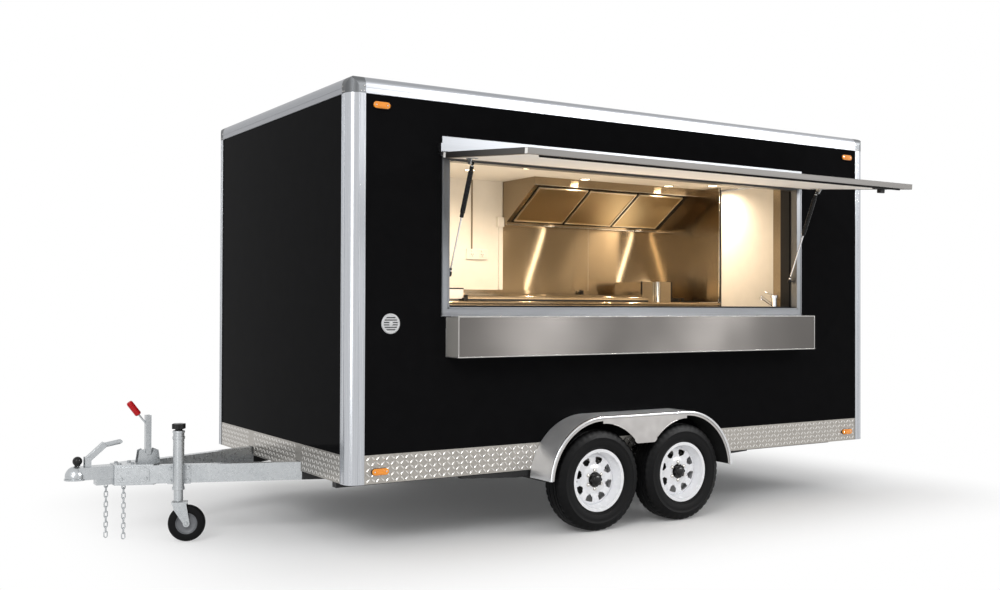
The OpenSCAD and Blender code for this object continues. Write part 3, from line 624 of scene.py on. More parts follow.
disc_profile = [(0.031, 0.024), (0.040, 0.0255), (0.064, 0.0255), (0.074, 0.0215), (0.084, 0.0165),
                (0.090, 0.0160), (0.100, 0.0185), (0.111, 0.0210), (0.122, 0.0215), (0.132, 0.0195),
                (0.139, 0.0160), (0.1445, 0.0110), (0.1490, 0.0040), (0.1500, -0.0060)]
vents = 8
steps_per_vent = 8
disc_steps = vents * steps_per_vent
vent_rings = (6, 7, 8, 9)


def rim_disc():
    """The pressed disc: a ring of faces with eight gaps, thickened and smoothed."""
    mesh = bmesh.new()
    rings = [[mesh.verts.new((r * math.cos(a), h, r * math.sin(a))) for r, h in disc_profile]
             for a in (2 * math.pi * k / disc_steps for k in range(disc_steps))]
    for step in range(disc_steps):
        for i in range(1, len(disc_profile)):
            reach = 1 if i == vent_rings[0] else 2
            from_middle = step % steps_per_vent - steps_per_vent // 2
            open_here = i in vent_rings and -reach <= from_middle < reach
            if not open_here:
                mesh.faces.new((rings[step - 1][i - 1], rings[step - 1][i],
                                rings[step][i], rings[step][i - 1]))
    bmesh.ops.recalc_face_normals(mesh, faces=mesh.faces)
    return mesh


def rim_barrel():
    mesh = bmesh.new()
    turn(mesh, [(0.1795, 0.0705), (0.1805, 0.0690), (0.1790, 0.0655), (0.1660, 0.0640), (0.1650, 0.0360),
                (0.1505, 0.0160), (0.1500, -0.0260), (0.1650, -0.0410), (0.1660, -0.0640), (0.1790, -0.0655),
                (0.1795, -0.0705), (0.1755, -0.0710), (0.1625, -0.0690), (0.1615, -0.0430), (0.1465, -0.0280),
                (0.1465, 0.0180), (0.1615, 0.0380), (0.1625, 0.0690), (0.1755, 0.0710)],
         (0, 0, 0), axis=1, steps=96, closed=True)
    return mesh


def hub_cap():
    mesh = bmesh.new()
    push(mesh, lobed(0.0375, 0.003, 8, 96), 1, 0.020, 0.046)
    turn(mesh, [(0, 0.0565), (0.013, 0.0560), (0.023, 0.0530), (0.0285, 0.0470), (0.0295, 0.040), (0, 0.040)],
         (0, 0, 0), axis=1, steps=40)
    turn(mesh, [(0.0, 0.0235), (0.0430, 0.0235), (0.0445, 0.0275), (0.0, 0.0300)], (0, 0, 0), axis=1,
         steps=48)
    return mesh


nut_count, nut_circle, nut_face = 6, 0.054, 0.0255
for side_name, facing in (("left", 1), ("right", -1)):
    for axle_name in ("front", "rear"):
        corner_name = axle_name + "_" + side_name
        body = "wheel_" + corner_name
        tyre_lo, tyre_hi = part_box("tyre_" + corner_name)
        turned = Matrix.Rotation(0 if facing > 0 else math.pi, 4, "Z")
        hub = Matrix.Translation((tyre_lo + tyre_hi) / 2) @ turned
        made = tyre_mesh()
        move(made.verts, hub)
        tyre = piece("road_tyre_" + corner_name, made, tread_rubber, body=body, sharp=32)
        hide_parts("tyre_" + corner_name)
        made = rim_barrel()
        move(made.verts, hub)
        rim = piece("wheel_rim_" + corner_name, made, white_enamel, body=body, sharp=45)
        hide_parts("rim_" + corner_name)
        made = rim_disc()
        move(made.verts, hub)
        disc = piece("wheel_disc_" + corner_name, made, white_enamel, body=body,
                     sharp=180)
        thickened = disc.modifiers.new("sheet_thickness", "SOLIDIFY")
        thickened.thickness = 0.0038
        thickened.offset = -1
        rounded = disc.modifiers.new("pressed_radii", "SUBSURF")
        rounded.levels = rounded.render_levels = 2
        made = hub_cap()
        move(made.verts, hub)
        piece("hub_cap_" + corner_name, made, black_abs, body=body, bevel=0.0012,
              sharp=50)
        nuts = [(hub @ Vector((nut_circle * math.cos(a), nut_face, nut_circle * math.sin(a))), (0, facing, 0))
                for a in (2 * math.pi * (k + 0.5) / nut_count for k in range(nut_count))]
        grow("wheel_nuts_" + corner_name, heads, places(nuts), {
            "Head": hexagon, "Head Width": 0.0088, "Finish": bright_nickel}, body=body)
        valve = bmesh.new()
        move(pipe(valve, [(0.1455, 0.0150, 0.0), (0.1440, 0.0260, 0.0), (0.1415, 0.0420, 0.0)], 0.0042), hub)
        piece("valve_stem_" + corner_name, valve, black_abs, body=body)

# ---- Mudguards ---------------------------------------------------------------
# Polished aluminium sheet rolled over each pair of wheels, with a wired edge
# and a flat pointed panel between them. The underside is sprayed black.
def sheet_metal(name, grain_mm, light, dark, rough, stretch=(1, 1, 1), bump=0.01, metallic=1.0):
    """Bare sheet metal: its roughness and a faint relief follow the marks of how it was worked."""
    return mottled(name, {"Metallic": metallic}, grain_mm, light, dark, rough, bump=bump, stretch=stretch,
                   detail=5.0)


polished_sheet = sheet_metal("polished_aluminium_sheet", 60, "#b4b1af", "#a5a2a0", (0.32, 0.40))
underseal = mottled("sprayed_underseal", {"IOR": 1.5, "Specular IOR Level": 0.25}, 9, "#1c1c1c", "#121213",
                    (0.7, 0.9), bump=0.6)
dress(polished_sheet, "mudguards")
guard_lo, guard_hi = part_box("mudguards")
axle_front = sum(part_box("tyre_front_left"), Vector()) / 2
axle_rear = sum(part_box("tyre_rear_left"), Vector()) / 2
guard_r = guard_hi.z - axle_front.z
wire_r = 0.0085
lowest_turn = math.asin((guard_lo.z - axle_front.z) / guard_r)


def guard_path(radius, y, steps=28):
    """Along the guard's edge, from its front foot over both wheels to its rear foot."""
    sweep = math.pi / 2 - lowest_turn
    turns = [lowest_turn + sweep * k / steps for k in range(steps + 1)]
    front = [(axle_front.x + radius * math.cos(a), y, axle_front.z + radius * math.sin(a)) for a in turns]
    rear = [(axle_rear.x - radius * math.cos(a), y, axle_rear.z + radius * math.sin(a))
            for a in reversed(turns)]
    return front + rear


def guard_shell(mesh, outer_r, inner_r, y_from, y_to):
    """A thin sheet that follows the guard's path, between two radii and from edge to body."""
    outer, inner = guard_path(outer_r, y_from), guard_path(inner_r, y_from)
    push(mesh, [(x, z) for x, _, z in outer + inner[::-1]], 1, y_from, y_to)


lining_inset = 0.0055
wires, linings, crowns = bmesh.new(), bmesh.new(), bmesh.new()
for y_edge, y_body in ((guard_hi.y, post_hi.y), (guard_lo.y, post_lo.y)):
    inward = math.copysign(1, y_body - y_edge)
    pipe(wires, guard_path(guard_r - wire_r * 0.6, y_edge), wire_r)
    guard_shell(linings, guard_r - 0.0045, guard_r - 0.0060, y_edge + inward * lining_inset,
                y_body + inward * 0.001)
    guard_shell(crowns, guard_r + 0.0016, guard_r + 0.0002, y_edge, y_body + inward * 0.0005)

# The wired edge is drawn bright by its roll. The crown has the even satin of mill
# rolled sheet; its lighter, less metallic copy of the guard's aluminium is a painted sheen on the top.
bright_roll = sheet_metal("bright_rolled_aluminium_edge", 60, "#dededf", "#cfd0d2", (0.10, 0.18))
piece("guard_wired_edges", wires, bright_roll)
crown_painted_sheen = sheet_metal("rolled_aluminium_crown_painted_sheen", 90, "#e4e4e5", "#d3d4d6", (0.40, 0.48), metallic=0.75)
piece("guard_crowns", crowns, crown_painted_sheen)
piece("guard_undersides", linings, underseal)

# The flat panel's own folded lip, a bright line along its lower edge.
lip_z = axle_front.z + 0.008
lip_r, lip_t = 0.322, 0.0032
bend = [math.radians(44 + 32 * k / 14) for k in range(15)]
lips = bmesh.new()
for y_edge, outward in ((guard_hi.y, 1), (guard_lo.y, -1)):
    for axle, sign in ((axle_front, -1), (axle_rear, 1)):
        pipe(lips, [(axle.x + sign * lip_r * math.cos(a), y_edge - outward * 0.001,
                     lip_z + lip_r * math.sin(a)) for a in bend], lip_t, sides=8)
piece("guard_panel_lips", lips, polished_sheet)

# ---- Body panels -------------------------------------------------------------
# Sandwich panels with a polyester gel coat: gloss black outside, white inside.
# A black gel coat mirrors faintly and shows a long, very shallow ripple.
side_lo, side_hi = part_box("left_wall")
rear_lo, rear_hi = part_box("rear_wall")
skin = (side_hi.y - side_lo.y) / 2
room_lo = Vector((rear_lo.x + skin, 2 * centre_y - side_hi.y + skin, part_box("floor_panel")[0].z))
room_hi = Vector((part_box("front_wall")[1].x - skin, side_hi.y - skin, post_hi.z + 1))


def gel_coat():
    """Black where a panel's face is outside the room, and white where it lines the room."""
    material, tree, shader = finish("black_and_white_gel_coat", {"IOR": 1.5, "Specular IOR Level": 0.004})
    where = add(tree, "ShaderNodeTexCoord")
    centred = add(tree, "ShaderNodeVectorMath", {0: where.outputs["Object"], 1: (room_lo + room_hi) / 2},
                  operation="SUBTRACT")
    off_centre = add(tree, "ShaderNodeVectorMath", {0: centred.outputs[0]}, operation="ABSOLUTE")
    past = add(tree, "ShaderNodeVectorMath", {0: off_centre.outputs[0], 1: (room_hi - room_lo) / 2},
               operation="SUBTRACT")
    parts = add(tree, "ShaderNodeSeparateXYZ", {0: past.outputs[0]})
    furthest = add(tree, "ShaderNodeMath", {0: parts.outputs[0], 1: parts.outputs[1]}, operation="MAXIMUM")
    inside = add(tree, "ShaderNodeMath", {0: furthest.outputs[0], 1: 0.0}, operation="LESS_THAN")
    ripple = add(tree, "ShaderNodeTexNoise", {"Vector": where.outputs["Object"], "Scale": 1000 / 420,
                                              "Detail": 2.0})
    dust = add(tree, "ShaderNodeTexNoise", {"Vector": where.outputs["Object"], "Scale": 1000 / 90,
                                            "Detail": 5.0})
    black = add(tree, "ShaderNodeMix", {0: dust.outputs["Fac"], 6: linear("#0e0e0f"), 7: linear("#131314")},
                data_type="RGBA")
    white = add(tree, "ShaderNodeMix", {0: dust.outputs["Fac"], 6: linear("#e6e4df"), 7: linear("#efede8")},
                data_type="RGBA")
    tint = add(tree, "ShaderNodeMix", {0: inside.outputs[0], 6: black.outputs[2], 7: white.outputs[2]},
               data_type="RGBA")
    polish = add(tree, "ShaderNodeMapRange", {"Value": dust.outputs["Fac"], "To Min": 0.04, "To Max": 0.09})
    gloss = add(tree, "ShaderNodeMix", {0: inside.outputs[0], 2: polish.outputs[0], 3: 0.32})
    relief = add(tree, "ShaderNodeBump", {"Height": ripple.outputs["Fac"], "Strength": 0.5,
                                          "Distance": 0.0015})
    tree.links.new(tint.outputs[2], shader.inputs["Base Color"])
    tree.links.new(gloss.outputs[0], shader.inputs["Roughness"])
    tree.links.new(relief.outputs[0], shader.inputs["Normal"])
    return material


def gloss_coat(name, light, dark, rough=(0.2, 0.3), level=0.4):
    """One gel coat or enamel colour with an even gloss."""
    return mottled(name, {"IOR": 1.5, "Specular IOR Level": level}, 90, light, dark, rough, bump=0.05)


panel_coat = gel_coat()
black_coat = gloss_coat("black_gel_coat", "#131314", "#0e0e0f", (0.04, 0.09), level=0.01)
dress(panel_coat, "front_wall", "rear_wall", "left_wall", "right_wall", "rear_door")
# The roof's white gel coat is chalked by weather, so it is dull and mirrors little.
roof_coat = mottled("white_roof_gel_coat", {"IOR": 1.5, "Specular IOR Level": 0.05}, 260,
                    "#efeeea", "#e8e6e2", (0.48, 0.58))
dress(roof_coat, "roof")
studded_vinyl = mottled("studded_grey_vinyl", {"IOR": 1.5, "Specular IOR Level": 0.3}, 5,
                        "#7b7e80", "#696c6f", (0.45, 0.65), bump=0.3)
dress(studded_vinyl, "floor_panel")

# ---- Posts, rails and corner castings ----------------------------------------
# Satin anodised aluminium extrusions, with fine die lines along their length,
# joined at the roof by sand cast corners that are held by dome rivets.
upright_extrusion = sheet_metal("anodised_aluminium_upright", 3.0, "#c6c8cc", "#b1b4b9", (0.17, 0.28),
                                stretch=(1, 1, 0.01), bump=0.02)
# The rails are written darker than the posts' same anodised aluminium: painted shade that keeps the lamps
# from burning them white.
rail_extrusion_painted_shade = sheet_metal("anodised_aluminium_lengthwise_painted_shade", 3.0, "#a3a5a9", "#919397", (0.34, 0.44),
                             stretch=(0.01, 1, 1), bump=0.02)
cast_metal = sheet_metal("sand_cast_aluminium", 2.2, "#6f7173", "#5c5e60", (0.42, 0.58), bump=0.25)
dress(upright_extrusion, "corner_posts", "door_frame")
dress(rail_extrusion_painted_shade, "roof_rails")
# The hatch frame is written darker still, painted shade on the same anodised aluminium as the posts.
hatch_trim_painted_shade = sheet_metal("satin_anodised_hatch_trim", 3.0, "#808285", "#727477", (0.34, 0.42),
                         stretch=(0.01, 1, 1))
dress(hatch_trim_painted_shade, "hatch_frame")
dress(cast_metal, "corner_caps")

cap_lo, cap_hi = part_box("corner_caps")
post_w = 0.094
rivet_spots = ((post_w - 0.010, 0.012), (post_w - 0.010, 0.038), (0.066, 0.010))
rivets = []
for end, out_x in ((cap_hi.x, 1), (cap_lo.x, -1)):
    for edge, out_y in ((cap_hi.y, 1), (cap_lo.y, -1)):
        for inset, rise in rivet_spots:
            rivets.append(((end - out_x * inset, edge, cap_lo.z + rise), (0, out_y, 0)))
            rivets.append(((end, edge - out_y * inset, cap_lo.z + rise), (out_x, 0, 0)))
grow("corner_rivets", heads, places(rivets), {"Head": dome, "Head Width": 0.0042, "Finish": polished_sheet})

# A bead of grey sealant closes the joint between roof sheet and rails, and
# each post's two edges carry a thin raised rib over the panel joint.
rail_lo, rail_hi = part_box("roof_rails")
rail_w = rail_hi.z - cap_lo.z
sealant = mottled("grey_polyurethane_sealant", {"IOR": 1.45, "Specular IOR Level": 0.3}, 5,
                  "#8f9091", "#7f8081", (0.5, 0.65), bump=0.1)
bead = bmesh.new()
bead_r = 0.006
joint_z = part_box("roof")[1].z
loop = [(rail_hi.x - rail_w, rail_hi.y - rail_w, joint_z), (rail_hi.x - rail_w, rail_lo.y + rail_w, joint_z),
        (rail_lo.x + rail_w, rail_lo.y + rail_w, joint_z), (rail_lo.x + rail_w, rail_hi.y - rail_w, joint_z)]
for i in range(4):
    pipe(bead, [loop[i - 1], loop[i]], bead_r, sides=8)
piece("roof_sealant", bead, sealant)

ribs = bmesh.new()
rib_w, rib_t = 0.007, 0.0016
post_low, post_high = post_lo.z + 0.003, cap_lo.z - 0.003
for end, out_x in ((post_hi.x, 1), (post_lo.x, -1)):
    for edge, out_y in ((post_hi.y, 1), (post_lo.y, -1)):
        for offset in (post_w - rib_w, post_w - 0.037):
            a, b = end - out_x * (offset + rib_w), end - out_x * offset
            slab(ribs, (min(a, b), min(edge, edge + out_y * rib_t), post_low),
                 (max(a, b), max(edge, edge + out_y * rib_t), post_high))
            a, b = edge - out_y * (offset + rib_w), edge - out_y * offset
            slab(ribs, (min(end, end + out_x * rib_t), min(a, b), post_low),
                 (max(end, end + out_x * rib_t), max(a, b), post_high))
piece("post_ribs", ribs, upright_extrusion, bevel=0.0007)

# Rails have the same pair of ribs, along their lower edge and at their shoulder.
rail_ribs = bmesh.new()
rib_heights = (rail_lo.z + 0.001, rail_lo.z + 0.030)
for edge, out_y in ((rail_hi.y, 1), (rail_lo.y, -1)):
    for z in rib_heights:
        slab(rail_ribs, (rail_lo.x + post_w, min(edge, edge + out_y * rib_t), z),
             (rail_hi.x - post_w, max(edge, edge + out_y * rib_t), z + rib_w))
for end, out_x in ((rail_hi.x, 1), (rail_lo.x, -1)):
    for z in rib_heights:
        slab(rail_ribs, (min(end, end + out_x * rib_t), rail_lo.y + post_w, z),
             (max(end, end + out_x * rib_t), rail_hi.y - post_w, z + rib_w))
piece("rail_ribs", rail_ribs, rail_extrusion_painted_shade, bevel=0.0007)

# ---- Tread plate skirts ------------------------------------------------------
# 3 mm aluminium tread plate round the foot of the body. The rolled pattern is
# short raised lozenges at 45 degrees that point one way and then the other.
bright_tread = sheet_metal("bright_rolled_tread_plate", 18, "#a9a59f", "#97938d", (0.26, 0.38), bump=0.03)
# The lozenges' crests are written much lighter than the plate: a painted highlight on the raised crests.
crest_painted_highlight = sheet_metal("tread_crests_painted_highlight", 6, "#e9e7e4", "#d6d3cf", (0.14, 0.24), bump=0.01)
dress(bright_tread, "skirt_plates")


def lozenge(mesh):
    """One raised lozenge, unit long: a low spindle with a flat crest."""
    outline = [(-0.5, 0.0), (-0.30, 0.10), (0.0, 0.13), (0.30, 0.10), (0.5, 0.0), (0.30, -0.10),
               (0.0, -0.13), (-0.30, -0.10)]
    base = [mesh.verts.new((x, y, 0)) for x, y in outline]
    crest = [mesh.verts.new((x * 0.80, y * 0.5, 0.050)) for x, y in outline]
    mesh.faces.new(crest)
    mesh.faces.new(base)
    for i in range(len(outline)):
        mesh.faces.new((base[i - 1], base[i], crest[i], crest[i - 1]))


def tread_tree():
    """Fills a plate with lozenges on a square lattice, each turned across its neighbours."""
    tree = bpy.data.node_groups.new("tread_lattice", "GeometryNodeTree")
    for label, kind in (("Plate", "Geometry"), ("Lozenge", "Object"), ("Length", "Float"),
                        ("Height", "Float"), ("Pitch", "Float"), ("Lozenge Length", "Float"),
                        ("Finish", "Material")):
        tree.interface.new_socket(label, in_out="INPUT", socket_type="NodeSocket" + kind)
    tree.interface.new_socket("Treads", in_out="OUTPUT", socket_type="NodeSocketGeometry")
    given = add(tree, "NodeGroupInput")
    counts = []
    for label in ("Length", "Height"):
        fits = add(tree, "ShaderNodeMath", {0: given.outputs[label], 1: given.outputs["Pitch"]},
                   operation="DIVIDE")
        counts.append(add(tree, "ShaderNodeMath", {0: fits.outputs[0]}, operation="FLOOR"))
    spans = [add(tree, "ShaderNodeMath", {0: c.outputs[0], 1: 1.0}, operation="SUBTRACT") for c in counts]
    sizes = [add(tree, "ShaderNodeMath", {0: s.outputs[0], 1: given.outputs["Pitch"]}, operation="MULTIPLY")
             for s in spans]
    grid = add(tree, "GeometryNodeMeshGrid", {
        "Size X": sizes[0].outputs[0], "Size Y": sizes[1].outputs[0],
        "Vertices X": counts[0].outputs[0], "Vertices Y": counts[1].outputs[0]})
    index = add(tree, "GeometryNodeInputIndex")
    column = add(tree, "ShaderNodeMath", {0: index.outputs[0], 1: counts[1].outputs[0]}, operation="DIVIDE")
    column = add(tree, "ShaderNodeMath", {0: column.outputs[0]}, operation="FLOOR")
    row = add(tree, "ShaderNodeMath", {0: index.outputs[0], 1: counts[1].outputs[0]}, operation="MODULO")
    place = add(tree, "ShaderNodeMath", {0: column.outputs[0], 1: row.outputs[0]}, operation="ADD")
    odd = add(tree, "ShaderNodeMath", {0: place.outputs[0], 1: 2.0}, operation="MODULO")
    turned = add(tree, "ShaderNodeMath", {0: odd.outputs[0], 1: math.pi / 2, 2: math.pi / 4},
                 operation="MULTIPLY_ADD")
    about = add(tree, "ShaderNodeCombineXYZ", {"Z": turned.outputs[0]})
    shape = add(tree, "GeometryNodeObjectInfo", {"Object": given.outputs["Lozenge"]})
    copies = add(tree, "GeometryNodeInstanceOnPoints", {
        "Points": grid.outputs[0], "Instance": shape.outputs["Geometry"], "Rotation": about.outputs[0],
        "Scale": given.outputs["Lozenge Length"]})
    real = add(tree, "GeometryNodeRealizeInstances", {0: copies.outputs[0]})
    dressed = add(tree, "GeometryNodeSetMaterial", {0: real.outputs[0], "Material": given.outputs["Finish"]})
    add(tree, "NodeGroupOutput", {0: dressed.outputs[0]})
    return tree


skirt_lo, skirt_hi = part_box("skirt_plates")
skirt_h = skirt_hi.z - skirt_lo.z
lattice = tread_tree()
spindle = pattern("tread_lozenge", lozenge)
tread_pitch = 0.0285
mid_z = (skirt_lo.z + skirt_hi.z) / 2
door_lo, door_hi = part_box("door_frame")
arm_cut = 0.033
front_arm_y = apex_y + apex_x * math.tan(arm_angle)
side_l = post_hi.x - post_lo.x - 2 * post_w
body_w = post_hi.y - post_lo.y
inner_front = 2 * (front_arm_y - arm_cut)
outer_front = body_w / 2 - post_w - front_arm_y - arm_cut
rear_l = post_hi.y - post_w - door_hi.y
plates = [
    ("left", side_l, Vector(((post_lo.x + post_hi.x) / 2, skirt_hi.y, mid_z)), 180),
    ("right", side_l, Vector(((post_lo.x + post_hi.x) / 2, skirt_lo.y, mid_z)), 0),
    ("front_middle", inner_front, Vector((skirt_hi.x, centre_y, mid_z)), 90),
    ("front_left", outer_front, Vector((skirt_hi.x, post_hi.y - post_w - outer_front / 2, mid_z)), 90),
    ("front_right", outer_front, Vector((skirt_hi.x, post_lo.y + post_w + outer_front / 2, mid_z)), 90),
    ("rear_left", rear_l, Vector((skirt_lo.x, door_hi.y + rear_l / 2, mid_z)), 270),
    ("rear_right", rear_l, Vector((skirt_lo.x, door_lo.y - rear_l / 2, mid_z)), 270),
]
for plate_name, length, middle_of_plate, heading in plates:
    treads = grow("treads_" + plate_name, lattice, bpy.data.meshes.new("plate"), {
        "Lozenge": spindle, "Length": length, "Height": skirt_h, "Pitch": tread_pitch,
        "Lozenge Length": tread_pitch, "Finish": crest_painted_highlight}, sharp=25)
    treads.data.transform(Matrix.Translation(middle_of_plate) @ Matrix.Rotation(math.radians(heading), 4, "Z")
                          @ Matrix.Rotation(math.pi / 2, 4, "X"))

# ---- Wall vent ---------------------------------------------------------------
# A round grey moulded vent over a hole in the near wall, with a raised rim and
# five slots over black gauze.
vent_grey = moulding("light_grey_asa_moulding", "#c9cacb", "#bcbdbe", (0.3, 0.4))
vent_at = at(-0.245, 0, 1.199)
vent_at.y = side_hi.y
vent_r = 0.0545
vent = bmesh.new()
turn(vent, [(vent_r - 0.013, 0.0), (vent_r, 0.0), (vent_r - 0.001, 0.005), (vent_r - 0.005, 0.0085),
            (vent_r - 0.010, 0.0085), (vent_r - 0.013, 0.0055)], vent_at, axis=1, steps=72, closed=True)
turn(vent, [(0.0, 0.002), (0.0115, 0.002), (0.0115, 0.0075), (0.0095, 0.0085), (0.0, 0.0085)], vent_at,
     axis=1, steps=32)
slat_pitch, slat_half = 0.0128, 0.0036
for k in range(-3, 4):
    z = k * slat_pitch
    reach = math.sqrt((vent_r - 0.011) ** 2 - z ** 2)
    slab(vent, (vent_at.x - reach, vent_at.y + 0.0015, vent_at.z + z - slat_half),
         (vent_at.x + reach, vent_at.y + 0.0065, vent_at.z + z + slat_half))
piece("wall_vent", vent, vent_grey, bevel=0.0008)
gauze = bmesh.new()
turn(gauze, [(0, 0.0004), (vent_r - 0.012, 0.0004), (vent_r - 0.012, 0.0012), (0, 0.0012)], vent_at,
     axis=1, steps=48)
piece("vent_gauze", gauze, black_abs)

# ---- Marker and tail lamps ---------------------------------------------------
# Oval amber marker lamps with a ribbed acrylic lens on a black base, held by
# two screws, and three-part tail lamps of the same make.
def acrylic(name, light, dark, glow=0.0):
    """A clear dyed lens over a reflector. It passes some of the light that falls on it."""
    constants = {"IOR": 1.49, "Transmission Weight": 0.12, "Coat Weight": 0.6, "Coat Roughness": 0.05}
    # The glow is a painted glow: it stands in for daylight that the reflector throws back through the lens.
    if glow:
        constants["Emission Color"] = linear(light)
        constants["Emission Strength"] = glow
    return mottled(name, constants, 4, light, dark, (0.08, 0.2), bump=0.05)


# The amber lenses carry a small painted glow.
amber = acrylic("amber_acrylic_lens", "#f4980c", "#e08406", glow=0.12)
red = acrylic("red_acrylic_lens", "#c9151b", "#a80f14")
clear = acrylic("clear_acrylic_lens", "#e4e6e8", "#d2d5d8")


def oval(half_l, r, steps=12):
    """A stadium outline about the origin."""
    ends = []
    for centre, start in ((half_l, -90), (-half_l, 90)):
        ends += [(centre + r * math.cos(math.radians(start + 180 * k / steps)),
                  r * math.sin(math.radians(start + 180 * k / steps))) for k in range(steps + 1)]
    return ends


lamp_lo, lamp_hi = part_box("marker_lamps")
lamp_r = 0.019
lamp_half = 0.031
lamp_x = [lamp_hi.x - lamp_half - lamp_r, lamp_lo.x + lamp_half + lamp_r]
lamp_z = [lamp_lo.z + lamp_r, lamp_hi.z - lamp_r]
base_t, lens_t = 0.0045, 0.0125
bases, lenses = bmesh.new(), bmesh.new()
lamp_screws = []
for x in lamp_x:
    for z in lamp_z:
        for out_y, wall, skirt in ((1, side_hi.y, skirt_hi.y), (-1, 2 * centre_y - side_hi.y, skirt_lo.y)):
            face_y = skirt if z == lamp_z[0] else wall
            lens = [(x + u, z + v) for u, v in oval(lamp_half, lamp_r - 0.0015)]
            base = [(x + u, z + v) for u, v in oval(lamp_half, lamp_r)]
            push(bases, base, 1, face_y, face_y + out_y * base_t)
            push(lenses, lens, 1, face_y + out_y * base_t, face_y + out_y * lens_t)
            bulge = [(x + u, z + v) for u, v in oval(lamp_half * 0.46, lamp_r * 0.56)]
            push(lenses, bulge, 1, face_y + out_y * (lens_t - 0.001), face_y + out_y * (lens_t + 0.004))
            for side in (-1, 1):
                lamp_screws.append(((x + side * lamp_half * 1.08, face_y + out_y * lens_t, z), (0, out_y, 0)))
piece("marker_lamp_bases", bases, black_abs)
lenses = piece("marker_lamp_lenses", lenses, amber, bevel=0.0022, sharp=50)
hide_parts("marker_lamps")
grow("marker_lamp_screws", heads, places(lamp_screws), {"Head": dome, "Head Width": 0.0042,
                                                        "Finish": bright_nickel})

tail_lo, tail_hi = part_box("tail_lamps")
tail_w, tail_margin = 0.140, 0.010
tail_t = tail_hi.x - tail_lo.x
tail_face = tail_hi.x - tail_t * 0.55
third = (tail_hi.z - tail_lo.z - 2 * tail_margin) / 3
housings = bmesh.new()
tail_lenses = {"amber": bmesh.new(), "red": bmesh.new(), "clear": bmesh.new()}
tail_screws = []
for y0 in (tail_lo.y, tail_hi.y - tail_w):
    slab(housings, (tail_face, y0, tail_lo.z), (tail_hi.x, y0 + tail_w, tail_hi.z))
    for row, tone in enumerate(("clear", "red", "amber")):
        mesh = tail_lenses[tone]
        z0 = tail_lo.z + tail_margin + third * row
        slab(mesh, (tail_lo.x + 0.004, y0 + tail_margin, z0 + 0.001),
             (tail_hi.x - tail_t * 0.5, y0 + tail_w - tail_margin, z0 + third - 0.001))
        turn(mesh, [(0.0, 0.0035), (0.010, 0.003), (0.0235, 0.0), (0.0235, -0.006), (0.0, -0.006)],
             (tail_lo.x + 0.004, y0 + tail_w / 2, z0 + third / 2), axis=0, steps=40)
    for z in (tail_lo.z + 0.006, tail_hi.z - 0.006):
        tail_screws.append(((tail_face, y0 + tail_w / 2, z), (-1, 0, 0)))
housings = piece("tail_lamp_housings", housings, black_abs, bevel=0.004)
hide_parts("tail_lamps")
for tone, lens_finish in (("amber", amber), ("red", red), ("clear", clear)):
    piece("tail_lenses_" + tone, tail_lenses[tone], lens_finish, bevel=0.0015)
grow("tail_lamp_screws", heads, places(tail_screws), {"Head": dome, "Head Width": 0.0035,
                                                      "Finish": bright_nickel})

# A blank number plate: white reflective sheet pressed into a black frame.
plate_lo, plate_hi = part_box("number_plate")
plate_white = gloss_coat("white_reflective_sheet", "#f4f4f2", "#ececea")
holder = bmesh.new()
rim_w = 0.009
slab(holder, (plate_hi.x - 0.006, plate_lo.y, plate_lo.z), plate_hi)
for lo_y, hi_y, lo_z, hi_z in (
        (plate_lo.y, plate_lo.y + rim_w, plate_lo.z, plate_hi.z),
        (plate_hi.y - rim_w, plate_hi.y, plate_lo.z, plate_hi.z),
        (plate_lo.y, plate_hi.y, plate_lo.z, plate_lo.z + rim_w),
        (plate_lo.y, plate_hi.y, plate_hi.z - rim_w, plate_hi.z)):
    slab(holder, (plate_lo.x, lo_y, lo_z), (plate_hi.x - 0.005, hi_y, hi_z))
holder = piece("number_plate_holder", holder, black_abs, bevel=0.0015)
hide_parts("number_plate")
blank = bmesh.new()
slab(blank, (plate_lo.x + 0.003, plate_lo.y + rim_w, plate_lo.z + rim_w),
     (plate_hi.x - 0.005, plate_hi.y - rim_w, plate_hi.z - rim_w))
piece("number_plate_blank", blank, plate_white, bevel=0.001)

# ---- Hatch opening -----------------------------------------------------------
# Black rubber seals inside the opening's aluminium frame, a raised rib round the
# frame's face, and a black upright box with a steel edge inside the rear jamb.
jamb_rear, jamb_front = -3.305, -0.595
sill_z, head_z = 1.288, 2.086
open_lo, open_hi = at(jamb_rear, 0, sill_z), at(jamb_front, 0, head_z)
frame_face = side_hi.y + 0.013
lining_y = side_hi.y - 0.040
seal_rubber = rubber("black_epdm_seal", "#161617", "#0f0f10", (0.45, 0.6), 4)

frame_ribs = bmesh.new()
frame_top = 2.10
for near, width in ((0.0, 0.009), (0.036, 0.0075)):
    far = near + width
    for x0, x1, z1 in ((open_lo.x - far, open_hi.x + far, open_lo.z - near),
                       (open_lo.x - far, open_lo.x - near, frame_top),
                       (open_hi.x + near, open_hi.x + far, frame_top)):
        slab(frame_ribs, (x0, frame_face - 0.0005, open_lo.z - far), (x1, frame_face + 0.0022, z1))
piece("hatch_frame_ribs", frame_ribs, hatch_trim_painted_shade, bevel=0.0006)

seals = bmesh.new()
slab(seals, (open_lo.x, lining_y - 0.012, open_lo.z), (open_hi.x, lining_y + 0.004, open_lo.z + 0.010))
for x0, x1 in ((open_lo.x, open_lo.x + 0.008), (open_hi.x - 0.008, open_hi.x)):
    slab(seals, (x0, lining_y - 0.012, open_lo.z + 0.010), (x1, lining_y - 0.002, open_hi.z - 0.002))
piece("hatch_seals", seals, seal_rubber, bevel=0.002)

post_foot, post_top = 1.252, 2.268
jamb_post = bmesh.new()
slab(jamb_post, (open_lo.x - 0.040, lining_y - 0.098, post_foot),
     (open_lo.x - 0.004, lining_y - 0.0125, post_top))
piece("jamb_post", jamb_post, chassis_paint, bevel=0.002)


